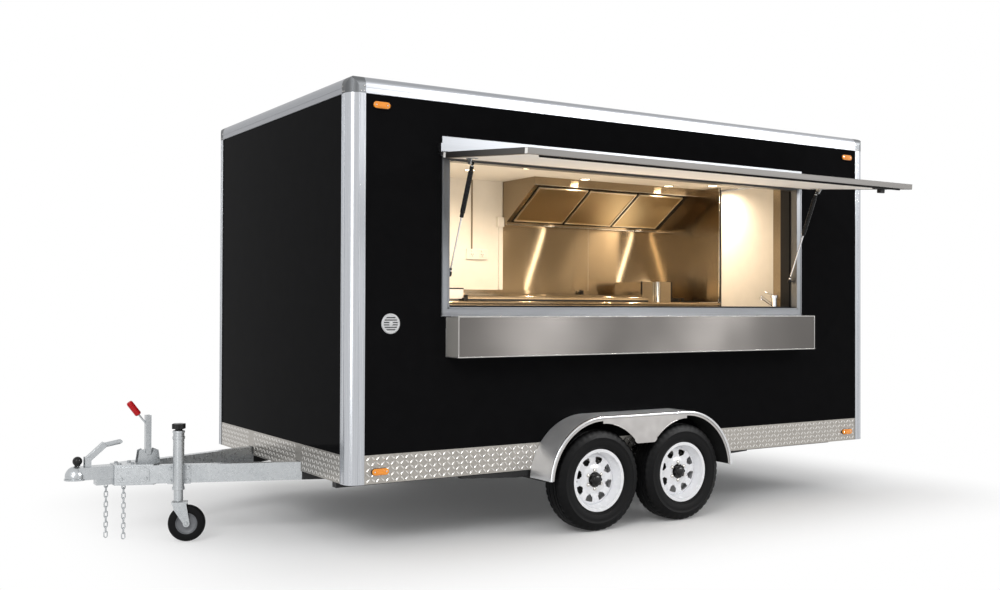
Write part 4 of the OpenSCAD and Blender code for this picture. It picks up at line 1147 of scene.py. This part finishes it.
def brushed(name, grain, light, dark, rough):
    """Stainless steel brushed along one axis: fine lines, and a gleam that spreads across them."""
    stretch = [1.0, 1.0, 1.0]
    stretch[grain] = 0.006
    along = [0.02, 0.02, 0.02]
    along[grain] = 1.0
    material, tree, shader = finish(name, {"Metallic": 1.0, "Anisotropic": 0.97,
                                           "Anisotropic Rotation": 0.25})
    where = add(tree, "ShaderNodeTexCoord")
    lines = add(tree, "ShaderNodeMapping", {"Vector": where.outputs["Object"], "Scale": stretch})
    fine = add(tree, "ShaderNodeTexNoise", {"Vector": lines.outputs[0], "Scale": 1000 / 1.4, "Detail": 4.0})
    clouds = add(tree, "ShaderNodeTexNoise", {"Vector": where.outputs["Object"], "Scale": 1000 / 400,
                                              "Detail": 1.0})
    tint = add(tree, "ShaderNodeMix", {0: fine.outputs["Fac"], 6: linear(dark), 7: linear(light)},
               data_type="RGBA")
    gloss = add(tree, "ShaderNodeMapRange", {"Value": clouds.outputs["Fac"], "From Min": 0.3, "From Max": 0.7,
                                             "To Min": rough[0], "To Max": rough[1]})
    grain_axis = add(tree, "ShaderNodeCombineXYZ", {0: along[0], 1: along[1], 2: along[2]})
    relief = add(tree, "ShaderNodeBump", {"Height": fine.outputs["Fac"], "Strength": 0.2,
                                          "Distance": 0.000003})
    tree.links.new(tint.outputs[2], shader.inputs["Base Color"])
    tree.links.new(gloss.outputs[0], shader.inputs["Roughness"])
    tree.links.new(grain_axis.outputs[0], shader.inputs["Tangent"])
    tree.links.new(relief.outputs[0], shader.inputs["Normal"])
    return material


# The counter's steel is written dark: painted shade, standing in for darker surroundings in its reflection.
counter_steel_painted_shade = brushed("stainless_brushed_lengthwise", 0, "#64615e", "#5b5856", (0.20, 0.25))
# The kitchen steel's two tones are written warm brown, not the grey of bare stainless: painted warm
# lamplight.
kitchen_painted_warm_light, kitchen_painted_warm_dark, kitchen_rough = "#a99a83", "#9a8b74", (0.16, 0.21)
kitchen_along = brushed("kitchen_stainless_lengthwise", 0, kitchen_painted_warm_light, kitchen_painted_warm_dark, kitchen_rough)
kitchen_across = brushed("kitchen_stainless_crosswise", 1, kitchen_painted_warm_light, kitchen_painted_warm_dark, kitchen_rough)
kitchen_upright = brushed("kitchen_stainless_upright", 2, kitchen_painted_warm_light, kitchen_painted_warm_dark, kitchen_rough)
bright_upright = brushed("stainless_bright_hems", 2, "#c9c7c4", "#bab8b5", (0.25, 0.31))
jamb_edge = bmesh.new()
slab(jamb_edge, (open_lo.x - 0.040, lining_y - 0.170, post_foot),
     (open_lo.x - 0.010, lining_y - 0.0985, post_top))
piece("jamb_steel_edge", jamb_edge, kitchen_upright, bevel=0.0015)

# ---- Serving lid -------------------------------------------------------------
# A sandwich panel, black outside and white beneath, in a channel of anodised
# aluminium. A rubber gasket hangs from its far edge, and a latch from one end.
hinge = Vector(joint("hatch_hinge")["pos_m"])
opened = math.radians(85)
lid = Matrix.Translation((post_hi.x, hinge.y, hinge.z)) @ Matrix.Rotation(opened, 4, "X")
lid_x0, lid_x1 = -3.375, -0.525
lid_in, lid_out = -0.024, 0.008
lid_far, lid_near = -0.838, -0.018
skin_t = 0.0015
channel_w = 0.028

panel = bmesh.new()
move(slab(panel, (lid_x0 + skin_t, lid_in + skin_t, lid_far + skin_t),
          (lid_x1 - skin_t, lid_out - skin_t, lid_near - skin_t)), lid)
lid_white = mottled("white_lid_skin", {"IOR": 1.5, "Specular IOR Level": 0.15}, 300,
                    "#f0efeb", "#eae8e4", (0.5, 0.56))
panel = piece("lid_panel", panel, lid_white, body="serving_hatch")
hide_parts("serving_hatch")
outer_skin = bmesh.new()
move(slab(outer_skin, (lid_x0 + channel_w, lid_out - 2 * skin_t, lid_far + channel_w),
          (lid_x1 - channel_w, lid_out - 0.0005, lid_near - channel_w)), lid)
piece("lid_outer_skin", outer_skin, black_coat, body="serving_hatch")


def channel(mesh, lo, hi, edge, width):
    """A U channel over one edge of the lid: its back, and a flange on each face."""
    axis, level, inward = edge
    spans = [(lid_in, lid_in + skin_t), (lid_out - skin_t, lid_out)]
    for y0, y1 in spans:
        flange_lo, flange_hi = [lo[0], y0, lo[1]], [hi[0], y1, hi[1]]
        flange_lo[axis], flange_hi[axis] = sorted((level, level + inward * width))
        move(slab(mesh, flange_lo, flange_hi), lid)
    back_lo, back_hi = [lo[0], lid_in, lo[1]], [hi[0], lid_out, hi[1]]
    back_lo[axis], back_hi[axis] = sorted((level, level + inward * skin_t))
    move(slab(mesh, back_lo, back_hi), lid)


channels = bmesh.new()
channel(channels, (lid_x0, lid_far), (lid_x1, lid_far), (2, lid_far, 1), channel_w)
channel(channels, (lid_x0, lid_near), (lid_x1, lid_near), (2, lid_near, -1), channel_w)
for level, inward in ((lid_x0, 1), (lid_x1, -1)):
    channel(channels, (level, lid_far + channel_w), (level, lid_near - channel_w), (0, level, inward),
            channel_w)
move(pipe(channels, [(lid_x0 + 0.010, 0, 0), (lid_x1 - 0.010, 0, 0)], 0.008, sides=20), lid)
move(slab(channels, (lid_x0 + 0.010, -0.0025, -0.0185), (lid_x1 - 0.010, 0.0025, -0.006)), lid)
# The channel is written much darker than the posts' same anodised aluminium: painted shade against the bright
# lamps on it.
channel_painted_shade = sheet_metal("satin_anodised_channel_painted_shade", 3.0, "#6a6866", "#5f5d5b", (0.44, 0.54),
                            stretch=(0.01, 1, 1))
piece("lid_edge_channels", channels, channel_painted_shade, body="serving_hatch", bevel=0.0004)

# The gasket closes inside the opening, just above the sill.
gasket_inset = 0.085
gasket = bmesh.new()
move(push(gasket, [(lid_in - 0.010, -0.813), (lid_in - 0.008, -0.8165), (lid_in, -0.818), (lid_in, -0.806),
                   (lid_in - 0.007, -0.808), (lid_in - 0.010, -0.811)],
          0, lid_x0 + gasket_inset, lid_x1 - gasket_inset), lid)
piece("lid_gasket", gasket, seal_rubber, body="serving_hatch", bevel=0.001)

latch_block = bmesh.new()
move(slab(latch_block, (lid_x0 + 0.185, lid_in - 0.012, -0.800), (lid_x0 + 0.275, lid_in, -0.760)), lid)
move(slab(latch_block, (lid_x0 + 0.200, lid_in - 0.034, -0.797),
          (lid_x0 + 0.240, lid_in - 0.011, -0.768)), lid)
piece("lid_latch", latch_block, black_abs, body="serving_hatch", bevel=0.003)

# ---- Gas struts --------------------------------------------------------------
# A black painted tube and a chromed rod at each end of the opening. Each turns
# on a plated bracket under the lid and on a stud in the jamb.
black_enamel = mottled("black_stove_enamel", {"IOR": 1.5, "Specular IOR Level": 0.2}, 12,
                       "#131314", "#0d0d0e", (0.22, 0.32), bump=0.02)
chrome = mottled("hard_chrome_plate", {"Metallic": 1.0}, 30, "#e2e2e3", "#d3d4d6", (0.06, 0.12))
dress(black_enamel, "strut_tube_front", "strut_tube_rear")
dress(chrome, "strut_rod_front", "strut_rod_rear")
brackets = bmesh.new()
bracket_rivets = []
jamb_pin = at(0, 1.015, 1.470)
pin_y, pin_z = lid_in - 0.025, -0.170
foot_w, foot_t, foot_half, off_jamb = 0.026, 0.0025, 0.046, 0.027
for strut_name, jamb_x, inward in (("front", jamb_front, -1), ("rear", jamb_rear, 1)):
    ear = jamb_x + inward * 0.008
    move(slab(brackets, (min(ear, ear + inward * foot_w), lid_in - foot_t, pin_z - foot_half),
              (max(ear, ear + inward * foot_w), lid_in, pin_z + foot_half)), lid)
    ear_outline = [(lid_in, pin_z - 0.026), (pin_y - 0.003, pin_z - 0.010), (pin_y - 0.009, pin_z - 0.003),
                   (pin_y - 0.009, pin_z + 0.003), (pin_y - 0.003, pin_z + 0.010), (lid_in, pin_z + 0.026)]
    move(push(brackets, ear_outline, 0, ear - 0.0025, ear + 0.0025), lid)
    move(pipe(brackets, [(ear, pin_y, pin_z), (jamb_x + inward * 0.035, pin_y, pin_z)], 0.004), lid)
    bracket_rivets += [(lid @ Vector((ear + inward * 0.014, lid_in - foot_t, pin_z + z)),
                        lid.to_3x3() @ Vector((0, -1, 0))) for z in (-0.038, 0.038)]
    strut_x = post_hi.x + jamb_x + inward * off_jamb
    upper = lid @ Vector((jamb_x + inward * off_jamb, pin_y, pin_z))
    lower = Vector((strut_x, jamb_pin.y, jamb_pin.z))
    along = (lower - upper).normalized()
    aim = Matrix.Translation(upper) @ Vector((0, 0, 1)).rotation_difference(along).to_matrix().to_4x4()
    length = (lower - upper).length
    fitting = bmesh.new()
    move(turn(fitting, [(0, 0.010), (0.0062, 0.010), (0.0074, 0.013), (0.0074, 0.030), (0.0105, 0.034),
                        (0.0105, 0.036), (0, 0.036)], (0, 0, 0), steps=24), aim)
    piece("strut_neck_" + strut_name, fitting, zinc, body="strut_tube_" + strut_name)
    crimp = bmesh.new()
    move(turn(crimp, [(0.0055, 0.2965), (0.0112, 0.2955), (0.0114, 0.2990), (0.0105, 0.3015),
                      (0.0055, 0.3018)], (0, 0, 0), steps=32, closed=True), aim)
    move(turn(crimp, [(0.0108, 0.282), (0.0113, 0.284), (0.0113, 0.286), (0.0108, 0.288)], (0, 0, 0),
              steps=32), aim)
    move(turn(crimp, [(0.0104, 0.040), (0.0132, 0.043), (0.0136, 0.047), (0.0136, 0.272), (0.0132, 0.276),
                      (0.0104, 0.279)], (0, 0, 0), steps=32), aim)
    piece("strut_crimp_" + strut_name, crimp, black_enamel, body="strut_tube_" + strut_name)
    socket = bmesh.new()
    move(turn(socket, [(0, length - 0.034), (0.0068, length - 0.034), (0.0072, length - 0.018),
                       (0.0100, length - 0.012), (0.0108, length - 0.004), (0.0108, length + 0.008),
                       (0.0090, length + 0.0125), (0, length + 0.0125)], (0, 0, 0), steps=28), aim)
    piece("strut_socket_" + strut_name, socket, black_abs, body="strut_rod_" + strut_name)
piece("strut_brackets", brackets, zinc, body="serving_hatch", bevel=0.0008)
grow("bracket_rivets", heads, places(bracket_rivets), {"Head": dome, "Head Width": 0.0046, "Finish": zinc},
     body="serving_hatch")

# ---- Serving counter ---------------------------------------------------------
# A folded box of brushed stainless sheet under the sill. Its hems are turned
# over, so that its outline shows as a thin bright edge.
counter_lo, counter_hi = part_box("serving_counter")
counter = bmesh.new()
slab(counter, counter_lo, counter_hi)
# The box's steel is written dark, a painted shade in its reflection.
counter = piece("counter_box", counter, counter_steel_painted_shade, bevel=0.0022)
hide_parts("serving_counter")
satin_steel = sheet_metal("satin_stainless_end_sheet", 3, "#c6c3be", "#b9b6b1", (0.62, 0.72),
                          stretch=(1, 1, 0.01))
ends = bmesh.new()
for level, outward in ((counter_hi.x, 1), (counter_lo.x, -1)):
    slab(ends, (min(level, level + outward * 0.0008), counter_lo.y, counter_lo.z + 0.003),
         (max(level, level + outward * 0.0008), counter_hi.y - 0.003, counter_hi.z - 0.003))
piece("counter_end_sheets", ends, satin_steel)
hems = bmesh.new()
hem_t, hem_w = 0.0012, 0.0055
for x0, x1, z0, z1 in ((counter_lo.x, counter_hi.x, counter_lo.z, counter_lo.z + hem_w),
                       (counter_lo.x, counter_hi.x, counter_hi.z - hem_w, counter_hi.z),
                       (counter_lo.x, counter_lo.x + hem_w, counter_lo.z + hem_w, counter_hi.z - hem_w),
                       (counter_hi.x - hem_w, counter_hi.x, counter_lo.z + hem_w, counter_hi.z - hem_w)):
    slab(hems, (x0, counter_hi.y - 0.0005, z0), (x1, counter_hi.y + hem_t, z1))
for y0, y1, z0, z1 in ((counter_lo.y, counter_hi.y, counter_lo.z, counter_lo.z + hem_w),
                       (counter_lo.y, counter_hi.y, counter_hi.z - hem_w, counter_hi.z),
                       (counter_lo.y, counter_lo.y + hem_w * 2, counter_lo.z + hem_w, counter_hi.z - hem_w)):
    for level, outward in ((counter_hi.x, 1), (counter_lo.x, -1)):
        slab(hems, (min(level - outward * 0.0005, level + outward * hem_t), y0, z0),
             (max(level - outward * 0.0005, level + outward * hem_t), y1, z1))
piece("counter_hems", hems, bright_upright, bevel=0.0004)

# ---- Cooking side ------------------------------------------------------------
# Benches, hood and appliances in brushed stainless. The bench ends in a rolled
# front edge, and steel sheets clad the walls behind it up to the hood.
bench_lo, bench_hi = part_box("cooking_bench")
griddle_lo, griddle_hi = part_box("griddle")
hood_lo, hood_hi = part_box("range_hood")
# Their warm brown tone is painted warm lamplight in the kitchen steel's colours.
dress(kitchen_along, "cooking_bench", "serving_bench", "griddle", "range_hood")
bench_z = 1.330
wall_y = 2 * centre_y - lining_y
rear_x = rear_hi.x
sheet_t = 0.0015

roll_r = 0.0125
rolled = bmesh.new()
pipe(rolled, [(bench_lo.x, bench_hi.y, bench_z - roll_r), (bench_hi.x, bench_hi.y, bench_z - roll_r)], roll_r,
     sides=20)
slab(rolled, (bench_lo.x, bench_hi.y - 0.004, bench_z - 0.040),
     (bench_hi.x, bench_hi.y + sheet_t, bench_z - 0.026))
piece("bench_rolled_edge", rolled, kitchen_along, bevel=0.0005)

cladding = bmesh.new()
seam_x = at(-3.100, 0, 0).x
clad_low, clad_high = bench_z + 0.004, hood_hi.z - 0.001
for x0, x1 in ((hood_lo.x - 0.001, seam_x - 0.001), (seam_x + 0.001, hood_hi.x)):
    slab(cladding, (x0, wall_y, clad_low), (x1, wall_y + sheet_t, hood_lo.z))
piece("splashback_sheets", cladding, kitchen_along, bevel=0.0004)
end_sheet = bmesh.new()
end_y = at(0, -0.370, 0).y
slab(end_sheet, (rear_x, wall_y + sheet_t, clad_low), (rear_x + sheet_t, end_y, clad_high))
piece("rear_wall_sheet", end_sheet, kitchen_across, bevel=0.0004)
trim_w = 0.016
trims = bmesh.new()
slab(trims, (rear_x, end_y, clad_low), (rear_x + 0.005, end_y + trim_w, clad_high))
slab(trims, (bench_lo.x, bench_hi.y - 0.012, bench_z), (bench_lo.x + 0.012, bench_hi.y, bench_z + 0.030))
piece("cladding_corner_trim", trims, bright_nickel, bevel=0.0012)
seal_strip = bmesh.new()
slab(seal_strip, (rear_x, end_y + trim_w, clad_low), (rear_x + 0.003, end_y + 0.024, clad_high))
piece("cladding_joint_seal", seal_strip, seal_rubber, bevel=0.001)

# ---- Griddle, fryer, burner and hob ------------------------------------------
# A flat hot plate of seasoned steel with a rolled rail in front, a fryer tank,
# a cast iron burner, and a white hob with a black glass top.
seasoned = sheet_metal("seasoned_griddle_steel", 45, "#4c4945", "#2f2d2a", (0.25, 0.45), bump=0.03)
plate = bmesh.new()
slab(plate, (griddle_lo.x + 0.014, griddle_lo.y + 0.014, bench_z + 0.0235),
     (griddle_hi.x - 0.014, griddle_hi.y - 0.032, bench_z + 0.0265))
piece("griddle_hot_plate", plate, seasoned, bevel=0.001)

# A black strip under the griddle's front is painted shadow in the gap there; the thermostat's housing with
# its foot is black itself.
shade_gap_and_housing = bmesh.new()
slab(shade_gap_and_housing, (griddle_lo.x, griddle_hi.y - 0.001, bench_z + 0.0008),
     (griddle_hi.x, griddle_hi.y + 0.0015, bench_z + 0.0155))
slab(shade_gap_and_housing, (griddle_hi.x - 0.002, griddle_hi.y - 0.034, bench_z + 0.012),
     (griddle_hi.x + 0.010, griddle_hi.y - 0.002, bench_z + 0.044))
slab(shade_gap_and_housing, (griddle_hi.x + 0.008, griddle_hi.y - 0.026, bench_z + 0.001),
     (griddle_hi.x + 0.034, griddle_hi.y + 0.0015, bench_z + 0.022))
piece("griddle_base_strip", shade_gap_and_housing, black_abs, bevel=0.0015)

fryer_lo, fryer_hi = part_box("fryer")
dress(kitchen_upright, "fryer")
# Black strips down the fryer's two ends: one stands for a black trim line, the other is painted shade at its
# edge.
fryer_trim_and_shade = bmesh.new()
tank_y = at(0, -0.540, 0).y
for x0, x1 in ((fryer_lo.x - 0.0015, fryer_lo.x + 0.010), (fryer_hi.x - 0.010, fryer_hi.x + 0.0015)):
    slab(fryer_trim_and_shade, (x0, tank_y - 0.006, bench_z + 0.0005), (x1, tank_y + 0.002, fryer_hi.z + 0.0015))
piece("fryer_edge_trims", fryer_trim_and_shade, black_enamel, bevel=0.001)
column_r, column_h = 0.0232, 0.1662
fryer_post = bmesh.new()
turn(fryer_post, [(0, 0.001), (column_r, 0.001), (column_r, 0.150), (0.0215, column_h), (0, column_h)],
     at(-3.440, -0.528, bench_z), steps=40)
piece("fryer_drain_column", fryer_post, bright_nickel)

cast_iron = mottled("black_cast_iron", {"IOR": 1.5, "Specular IOR Level": 0.3}, 1.6, "#1d1c1b", "#141313",
                    (0.5, 0.7), bump=0.25)
dress(cast_iron, "gas_burner")
flame_ring = bmesh.new()
burner_at = at(-3.785, -0.730, bench_z + 0.0235)
turn(flame_ring, [(0, 0), (0.040, 0), (0.044, 0.003), (0.040, 0.0045), (0.034, 0.004), (0.030, 0.0015),
                  (0, 0.002)], burner_at, steps=48)
piece("burner_cap", flame_ring, bright_nickel)

hob_lo, hob_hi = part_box("induction_hob")
hob_body = bmesh.new()
slab(hob_body, (hob_lo.x, hob_lo.y, bench_z + 0.014), (hob_hi.x, hob_hi.y, hob_hi.z - 0.008))
hob_body = piece("hob_body", hob_body, white_enamel, bevel=0.004)
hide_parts("induction_hob")
black_glass = gloss_coat("black_ceramic_glass", "#121213", "#0c0c0d", (0.05, 0.08), level=0.5)
hob_glass = bmesh.new()
slab(hob_glass, (hob_lo.x - 0.001, hob_lo.y - 0.001, hob_hi.z - 0.009),
     (hob_hi.x + 0.001, hob_hi.y + 0.001, hob_hi.z))
slab(hob_glass, (hob_lo.x + 0.010, hob_lo.y + 0.010, bench_z + 0.0005),
     (hob_hi.x - 0.010, hob_hi.y - 0.010, bench_z + 0.015))
piece("hob_glass_and_base", hob_glass, black_glass, bevel=0.0015)

# ---- Range hood --------------------------------------------------------------
# Three lift-out filters of woven steel mesh in bright frames lie on the hood's
# sloping face. Black strips between them and along a gutter under them are painted shade.
# The mesh and its frames are written in warm tan and cream: painted warm lamplight on grey steel.
filter_mesh = sheet_metal("woven_filter_mesh_painted_warm_light", 2.6, "#d2bd96", "#a8926b", (0.34, 0.46), bump=0.12)
slope_low, slope_high = at(0, -0.950, 1.950), at(0, -0.555, 2.210)
up_slope = (slope_high - slope_low).normalized()
slope_l = (slope_high - slope_low).length
off_slope = Vector((0, up_slope.z, -up_slope.y))
slope = Matrix((Vector((1, 0, 0)), up_slope, off_slope)).transposed().to_4x4()
slope.translation = Vector((hood_hi.x, slope_low.y, slope_low.z))
filters, filter_l, filter_gap, first_margin, frame_w = 3, 0.462, 0.024, 0.050, 0.011
frame_t, mesh_t, gap_t = 0.013, 0.008, 0.004
low_v, high_v = 0.030, slope_l - 0.022
frames, meshes, gap_shade_strips = bmesh.new(), bmesh.new(), bmesh.new()
for k in range(filters):
    x1 = -first_margin - k * (filter_l + filter_gap)
    x0 = x1 - filter_l
    for a0, a1, v0, v1 in ((x0, x1, low_v, low_v + frame_w), (x0, x1, high_v - frame_w, high_v),
                           (x0, x0 + frame_w, low_v + frame_w, high_v - frame_w),
                           (x1 - frame_w, x1, low_v + frame_w, high_v - frame_w)):
        move(slab(frames, (a0, v0, 0.001), (a1, v1, frame_t)), slope)
    move(slab(meshes, (x0 + frame_w, low_v + frame_w, 0.001),
              (x1 - frame_w, high_v - frame_w, mesh_t)), slope)
row_end = -first_margin - filters * filter_l - (filters - 1) * filter_gap
# The black strips in the gaps and the gutter are painted shade.
gap_from, gap_to = row_end - 0.055, -first_margin + 0.010
for x0, x1, v0, v1 in ((gap_from, gap_to, low_v - 0.020, low_v - 0.001),
                       (gap_from, gap_to, high_v + 0.001, high_v + 0.009),
                       (gap_from, row_end - 0.001, low_v - 0.001, high_v + 0.001),
                       (-first_margin + 0.001, gap_to, low_v - 0.001, high_v + 0.001)):
    move(slab(gap_shade_strips, (x0, v0, 0.0003), (x1, v1, gap_t)), slope)
for k in range(filters - 1):
    x1 = -first_margin - filter_l - k * (filter_l + filter_gap) - 0.001
    move(slab(gap_shade_strips, (x1 - filter_gap + 0.002, low_v - 0.001, 0.0003), (x1, high_v + 0.001, gap_t)), slope)
bright_frame = sheet_metal("filter_frame_painted_warm_light", 30, "#f0e4cc", "#dccfb6", (0.30, 0.42))
piece("hood_filter_frames", frames, bright_frame, bevel=0.0015)
piece("hood_filter_mesh", meshes, filter_mesh)
piece("hood_filter_gaps", gap_shade_strips, black_enamel, bevel=0.0005)
hem_r = 0.004
lip = bmesh.new()
pipe(lip, [(hood_lo.x, slope_low.y, hood_lo.z + hem_r), (hood_hi.x, slope_low.y, hood_lo.z + hem_r)], hem_r,
     sides=10)
pipe(lip, [(hood_lo.x, hood_hi.y, slope_high.z), (hood_hi.x, hood_hi.y, slope_high.z)], 0.003, sides=10)
piece("hood_hemmed_edges", lip, bright_nickel)

# ---- Tap, sink and wall fittings ---------------------------------------------
# A chromed lever tap and a sink waste, a white double power outlet with its
# conduit, a cable cover with a junction box, and a gas valve with a star knob.
dress(chrome, "mixer_tap")
waste = bmesh.new()
turn(waste, [(0.020, -0.001), (0.034, -0.001), (0.034, 0.0015), (0.030, 0.0025), (0.022, 0.0005),
             (0.020, 0.0)], at(-3.220, 0.743, 1.090), steps=40, closed=True)
piece("sink_waste_ring", waste, bright_nickel)
lever = bmesh.new()
pipe(lever, [at(-3.220, 0.930, 1.372), at(-3.220, 0.915, 1.380), at(-3.220, 0.850, 1.398)], 0.005, sides=14)
piece("tap_lever", lever, chrome, bevel=0.001)


def on_wall(mesh, x_from, x_to, low, high, stands_out, starts=0.0):
    """A box on the far wall, between two places along the body and two heights."""
    slab(mesh, (at(x_from, 0, 0).x, wall_y + starts, low), (at(x_to, 0, 0).x, wall_y + stands_out, high))


white_plastic = moulding("white_urea_moulding", "#efeeea", "#e6e4df", (0.3, 0.4))
outlet_low, outlet_high = 1.655, 1.735
conduit_top = 2.269
box_low, box_high = 1.915, 1.990
socket_places = (-1.975, -2.065)
outlet = bmesh.new()
on_wall(outlet, -2.115, -1.925, outlet_low, outlet_high, 0.012)
for x in socket_places:
    on_wall(outlet, x - 0.021, x + 0.021, 1.672, 1.704, 0.0145, starts=0.011)
    on_wall(outlet, x - 0.008, x + 0.008, 1.711, 1.727, 0.017, starts=0.011)
on_wall(outlet, -2.258, -2.200, box_low, box_high, 0.030)
on_wall(outlet, -2.258, -2.222, bench_z + 0.094, box_low + 0.001, 0.010)
on_wall(outlet, -2.258, -2.244, box_high - 0.001, conduit_top, 0.006)
piece("outlet_and_cable_cover", outlet, white_plastic, bevel=0.0018)
# The sockets' pin holes are black patches on the face: painted shade inside the holes.
slots = bmesh.new()
slot_half_w, slot_half_h = 0.002, 0.004
for x in socket_places:
    for u, z in ((-0.008, 1.694), (0.008, 1.694), (0.0, 1.681)):
        on_wall(slots, x + u - slot_half_w, x + u + slot_half_w, z - slot_half_h, z + slot_half_h,
                0.0148, starts=0.014)
piece("outlet_slots", slots, black_abs)
conduit = bmesh.new()
grey_conduit = moulding("grey_brown_conduit", "#8f8474", "#7f7566", (0.35, 0.5))
on_wall(conduit, -1.983, -1.971, outlet_high, conduit_top, 0.008)
piece("outlet_conduit", conduit, grey_conduit, bevel=0.0015)

gas_knob = bmesh.new()
knob_centre = at(-3.000, -0.975, 1.408)
push(gas_knob, lobed(0.019, 0.006, 5, 60, (knob_centre.x, knob_centre.z)), 1, knob_centre.y,
     knob_centre.y + 0.018)
piece("gas_valve_knob", gas_knob, black_abs, bevel=0.003, sharp=50)
stem = bmesh.new()
pipe(stem, [knob_centre + Vector((0, -0.017, 0)), knob_centre + Vector((0, 0.002, 0))], 0.006)
turn(stem, [(0, -0.017), (0.014, -0.017), (0.014, -0.011), (0, -0.011)], knob_centre, axis=1, steps=6)
piece("gas_valve_stem", stem, bright_nickel)

# ---- Ceiling lights ----------------------------------------------------------
# Warm recessed lamps: a chromed ring round a frosted lens. One row follows the
# hood's front edge, and the others light the serving side.
ceiling_z = 2.270
lamp_spots = [(-1.650, -0.490), (-2.680, -0.490), (-3.520, -0.490),
              (-1.233, 0.020), (-1.940, -0.175), (-3.800, -0.280)]
warm = (1.0, 0.79, 0.56)
pale_warm = (1.0, 0.86, 0.68)
frosted = mottled("frosted_warm_lens", {"IOR": 1.5, "Emission Color": linear("#ffefce"),
                                        "Emission Strength": 7.0},
                  3, "#fff5e2", "#f4e6cb", (0.38, 0.50), bump=0.02)
rings, lens = bmesh.new(), bmesh.new()
for index, (x, y) in enumerate(lamp_spots):
    centre = at(x, y, ceiling_z)
    turn(rings, [(0.034, 0.0), (0.043, 0.0), (0.043, -0.0025), (0.040, -0.005), (0.034, -0.004)], centre,
         steps=48, closed=True)
    turn(lens, [(0, -0.0025), (0.0335, -0.0025), (0.0335, 0.0), (0, 0.0)], centre, steps=40)
    lamp("downlight_%d" % index, "SPOT", centre - Vector((0, 0, 0.012)), centre - Vector((0, 0, 1)), 34,
         color=warm, spot_size=math.radians(160), spot_blend=0.9, shadow_soft_size=0.030)
piece("downlight_rings", rings, chrome)
piece("downlight_lenses", lens, frosted)

# Two soft lamps stand in for the warm light that the steel tops throw back up,
# onto the lid and onto the ceiling.
lamp("lid_glow", "AREA", at(-1.95, 0.78, 1.32), at(-1.95, 1.40, 2.10), 7, color=warm,
     shape="RECTANGLE", size=1.8, size_y=0.3)
lamp("ceiling_glow", "AREA", at(-2.0, 0.10, 1.36), at(-2.0, -0.10, 2.27), 13, color=warm,
     shape="RECTANGLE", size=3.0, size_y=0.5)

# Brushed steel spreads each bright spot into a long gleam. Two narrow lamps draw
# those on the splashback, and two broad ones the shine on the filters. Only gloss
# sees them, so that they don't light the room.
splash_lean = -20.6
for end_name, x in (("front", -2.802), ("rear", -3.755)):
    lamp("splash_gleam_" + end_name, "AREA", at(x, -0.660, 1.690), at(x, -1.000, 1.690), 0.50,
         matt=False, lean=splash_lean, color=pale_warm, shape="RECTANGLE", size=0.030, size_y=0.56)
lamp("hood_end_gleam", "AREA", at(-3.70, -0.93, 1.45), at(-3.34, -0.76, 2.08), 1.0,
     matt=False, color=pale_warm, shape="RECTANGLE", size=0.40, size_y=0.24)
lamp("hood_gleam", "AREA", at(-2.75, -0.90, 1.12), at(-2.75, -0.74, 2.08), 6.0,
     matt=False, color=pale_warm, shape="RECTANGLE", size=2.3, size_y=0.22)

# ---- Rear door ---------------------------------------------------------------
# A sandwich panel leaf on three knuckle hinges. Its lever handle stands on a
# black moulded plate, with a key cylinder under the handle.
fittings = bmesh.new()
handle_y = at(0, 0.270, 0).y
key_at = (rear_lo.x, handle_y, 1.160)
slab(fittings, (rear_lo.x - 0.0065, handle_y - 0.024, 1.130), (rear_lo.x + 0.0003, handle_y + 0.024, 1.285))
turn(fittings, [(0, -0.012), (0.0105, -0.012), (0.0125, -0.008), (0.0125, 0.0), (0, 0.0)], key_at, axis=0,
     steps=32)
piece("door_handle_plate", fittings, black_abs, body="rear_door", bevel=0.002)
lock = bmesh.new()
turn(lock, [(0, -0.0135), (0.0078, -0.0135), (0.0085, -0.0115), (0, -0.0115)], key_at, axis=0, steps=28)
piece("door_lock", lock, bright_nickel, body="rear_door")

# ---- Outriggers --------------------------------------------------------------
# Folded steel brackets under the skirts carry the mudguards' ends. They are in
# the chassis black, screwed to the floor, and taper away from the wheels.
behind_skirt, bracket_w = 0.012, 0.040
under_guard, level_l, bracket_top = 0.030, 0.120, skirt_lo.z + 0.040
outriggers = bmesh.new()
for y_skirt, inward in ((skirt_hi.y, -1), (skirt_lo.y, 1)):
    y_near = y_skirt + inward * behind_skirt
    y0, y1 = sorted((y_near, y_near + inward * bracket_w))
    for foot_x, away, drop, reach in ((guard_hi.x - under_guard, 1, 0.040, 0.480),
                                      (guard_lo.x + under_guard, -1, 0.024, 0.380)):
        tip_x = foot_x + away * reach
        push(outriggers, [(foot_x, skirt_lo.z - drop), (foot_x + away * level_l, skirt_lo.z - drop),
                          (tip_x, skirt_lo.z - drop * 0.45), (tip_x, bracket_top), (foot_x, bracket_top)],
             1, y0, y1)
piece("skirt_outriggers", outriggers, chassis_paint, bevel=0.002)
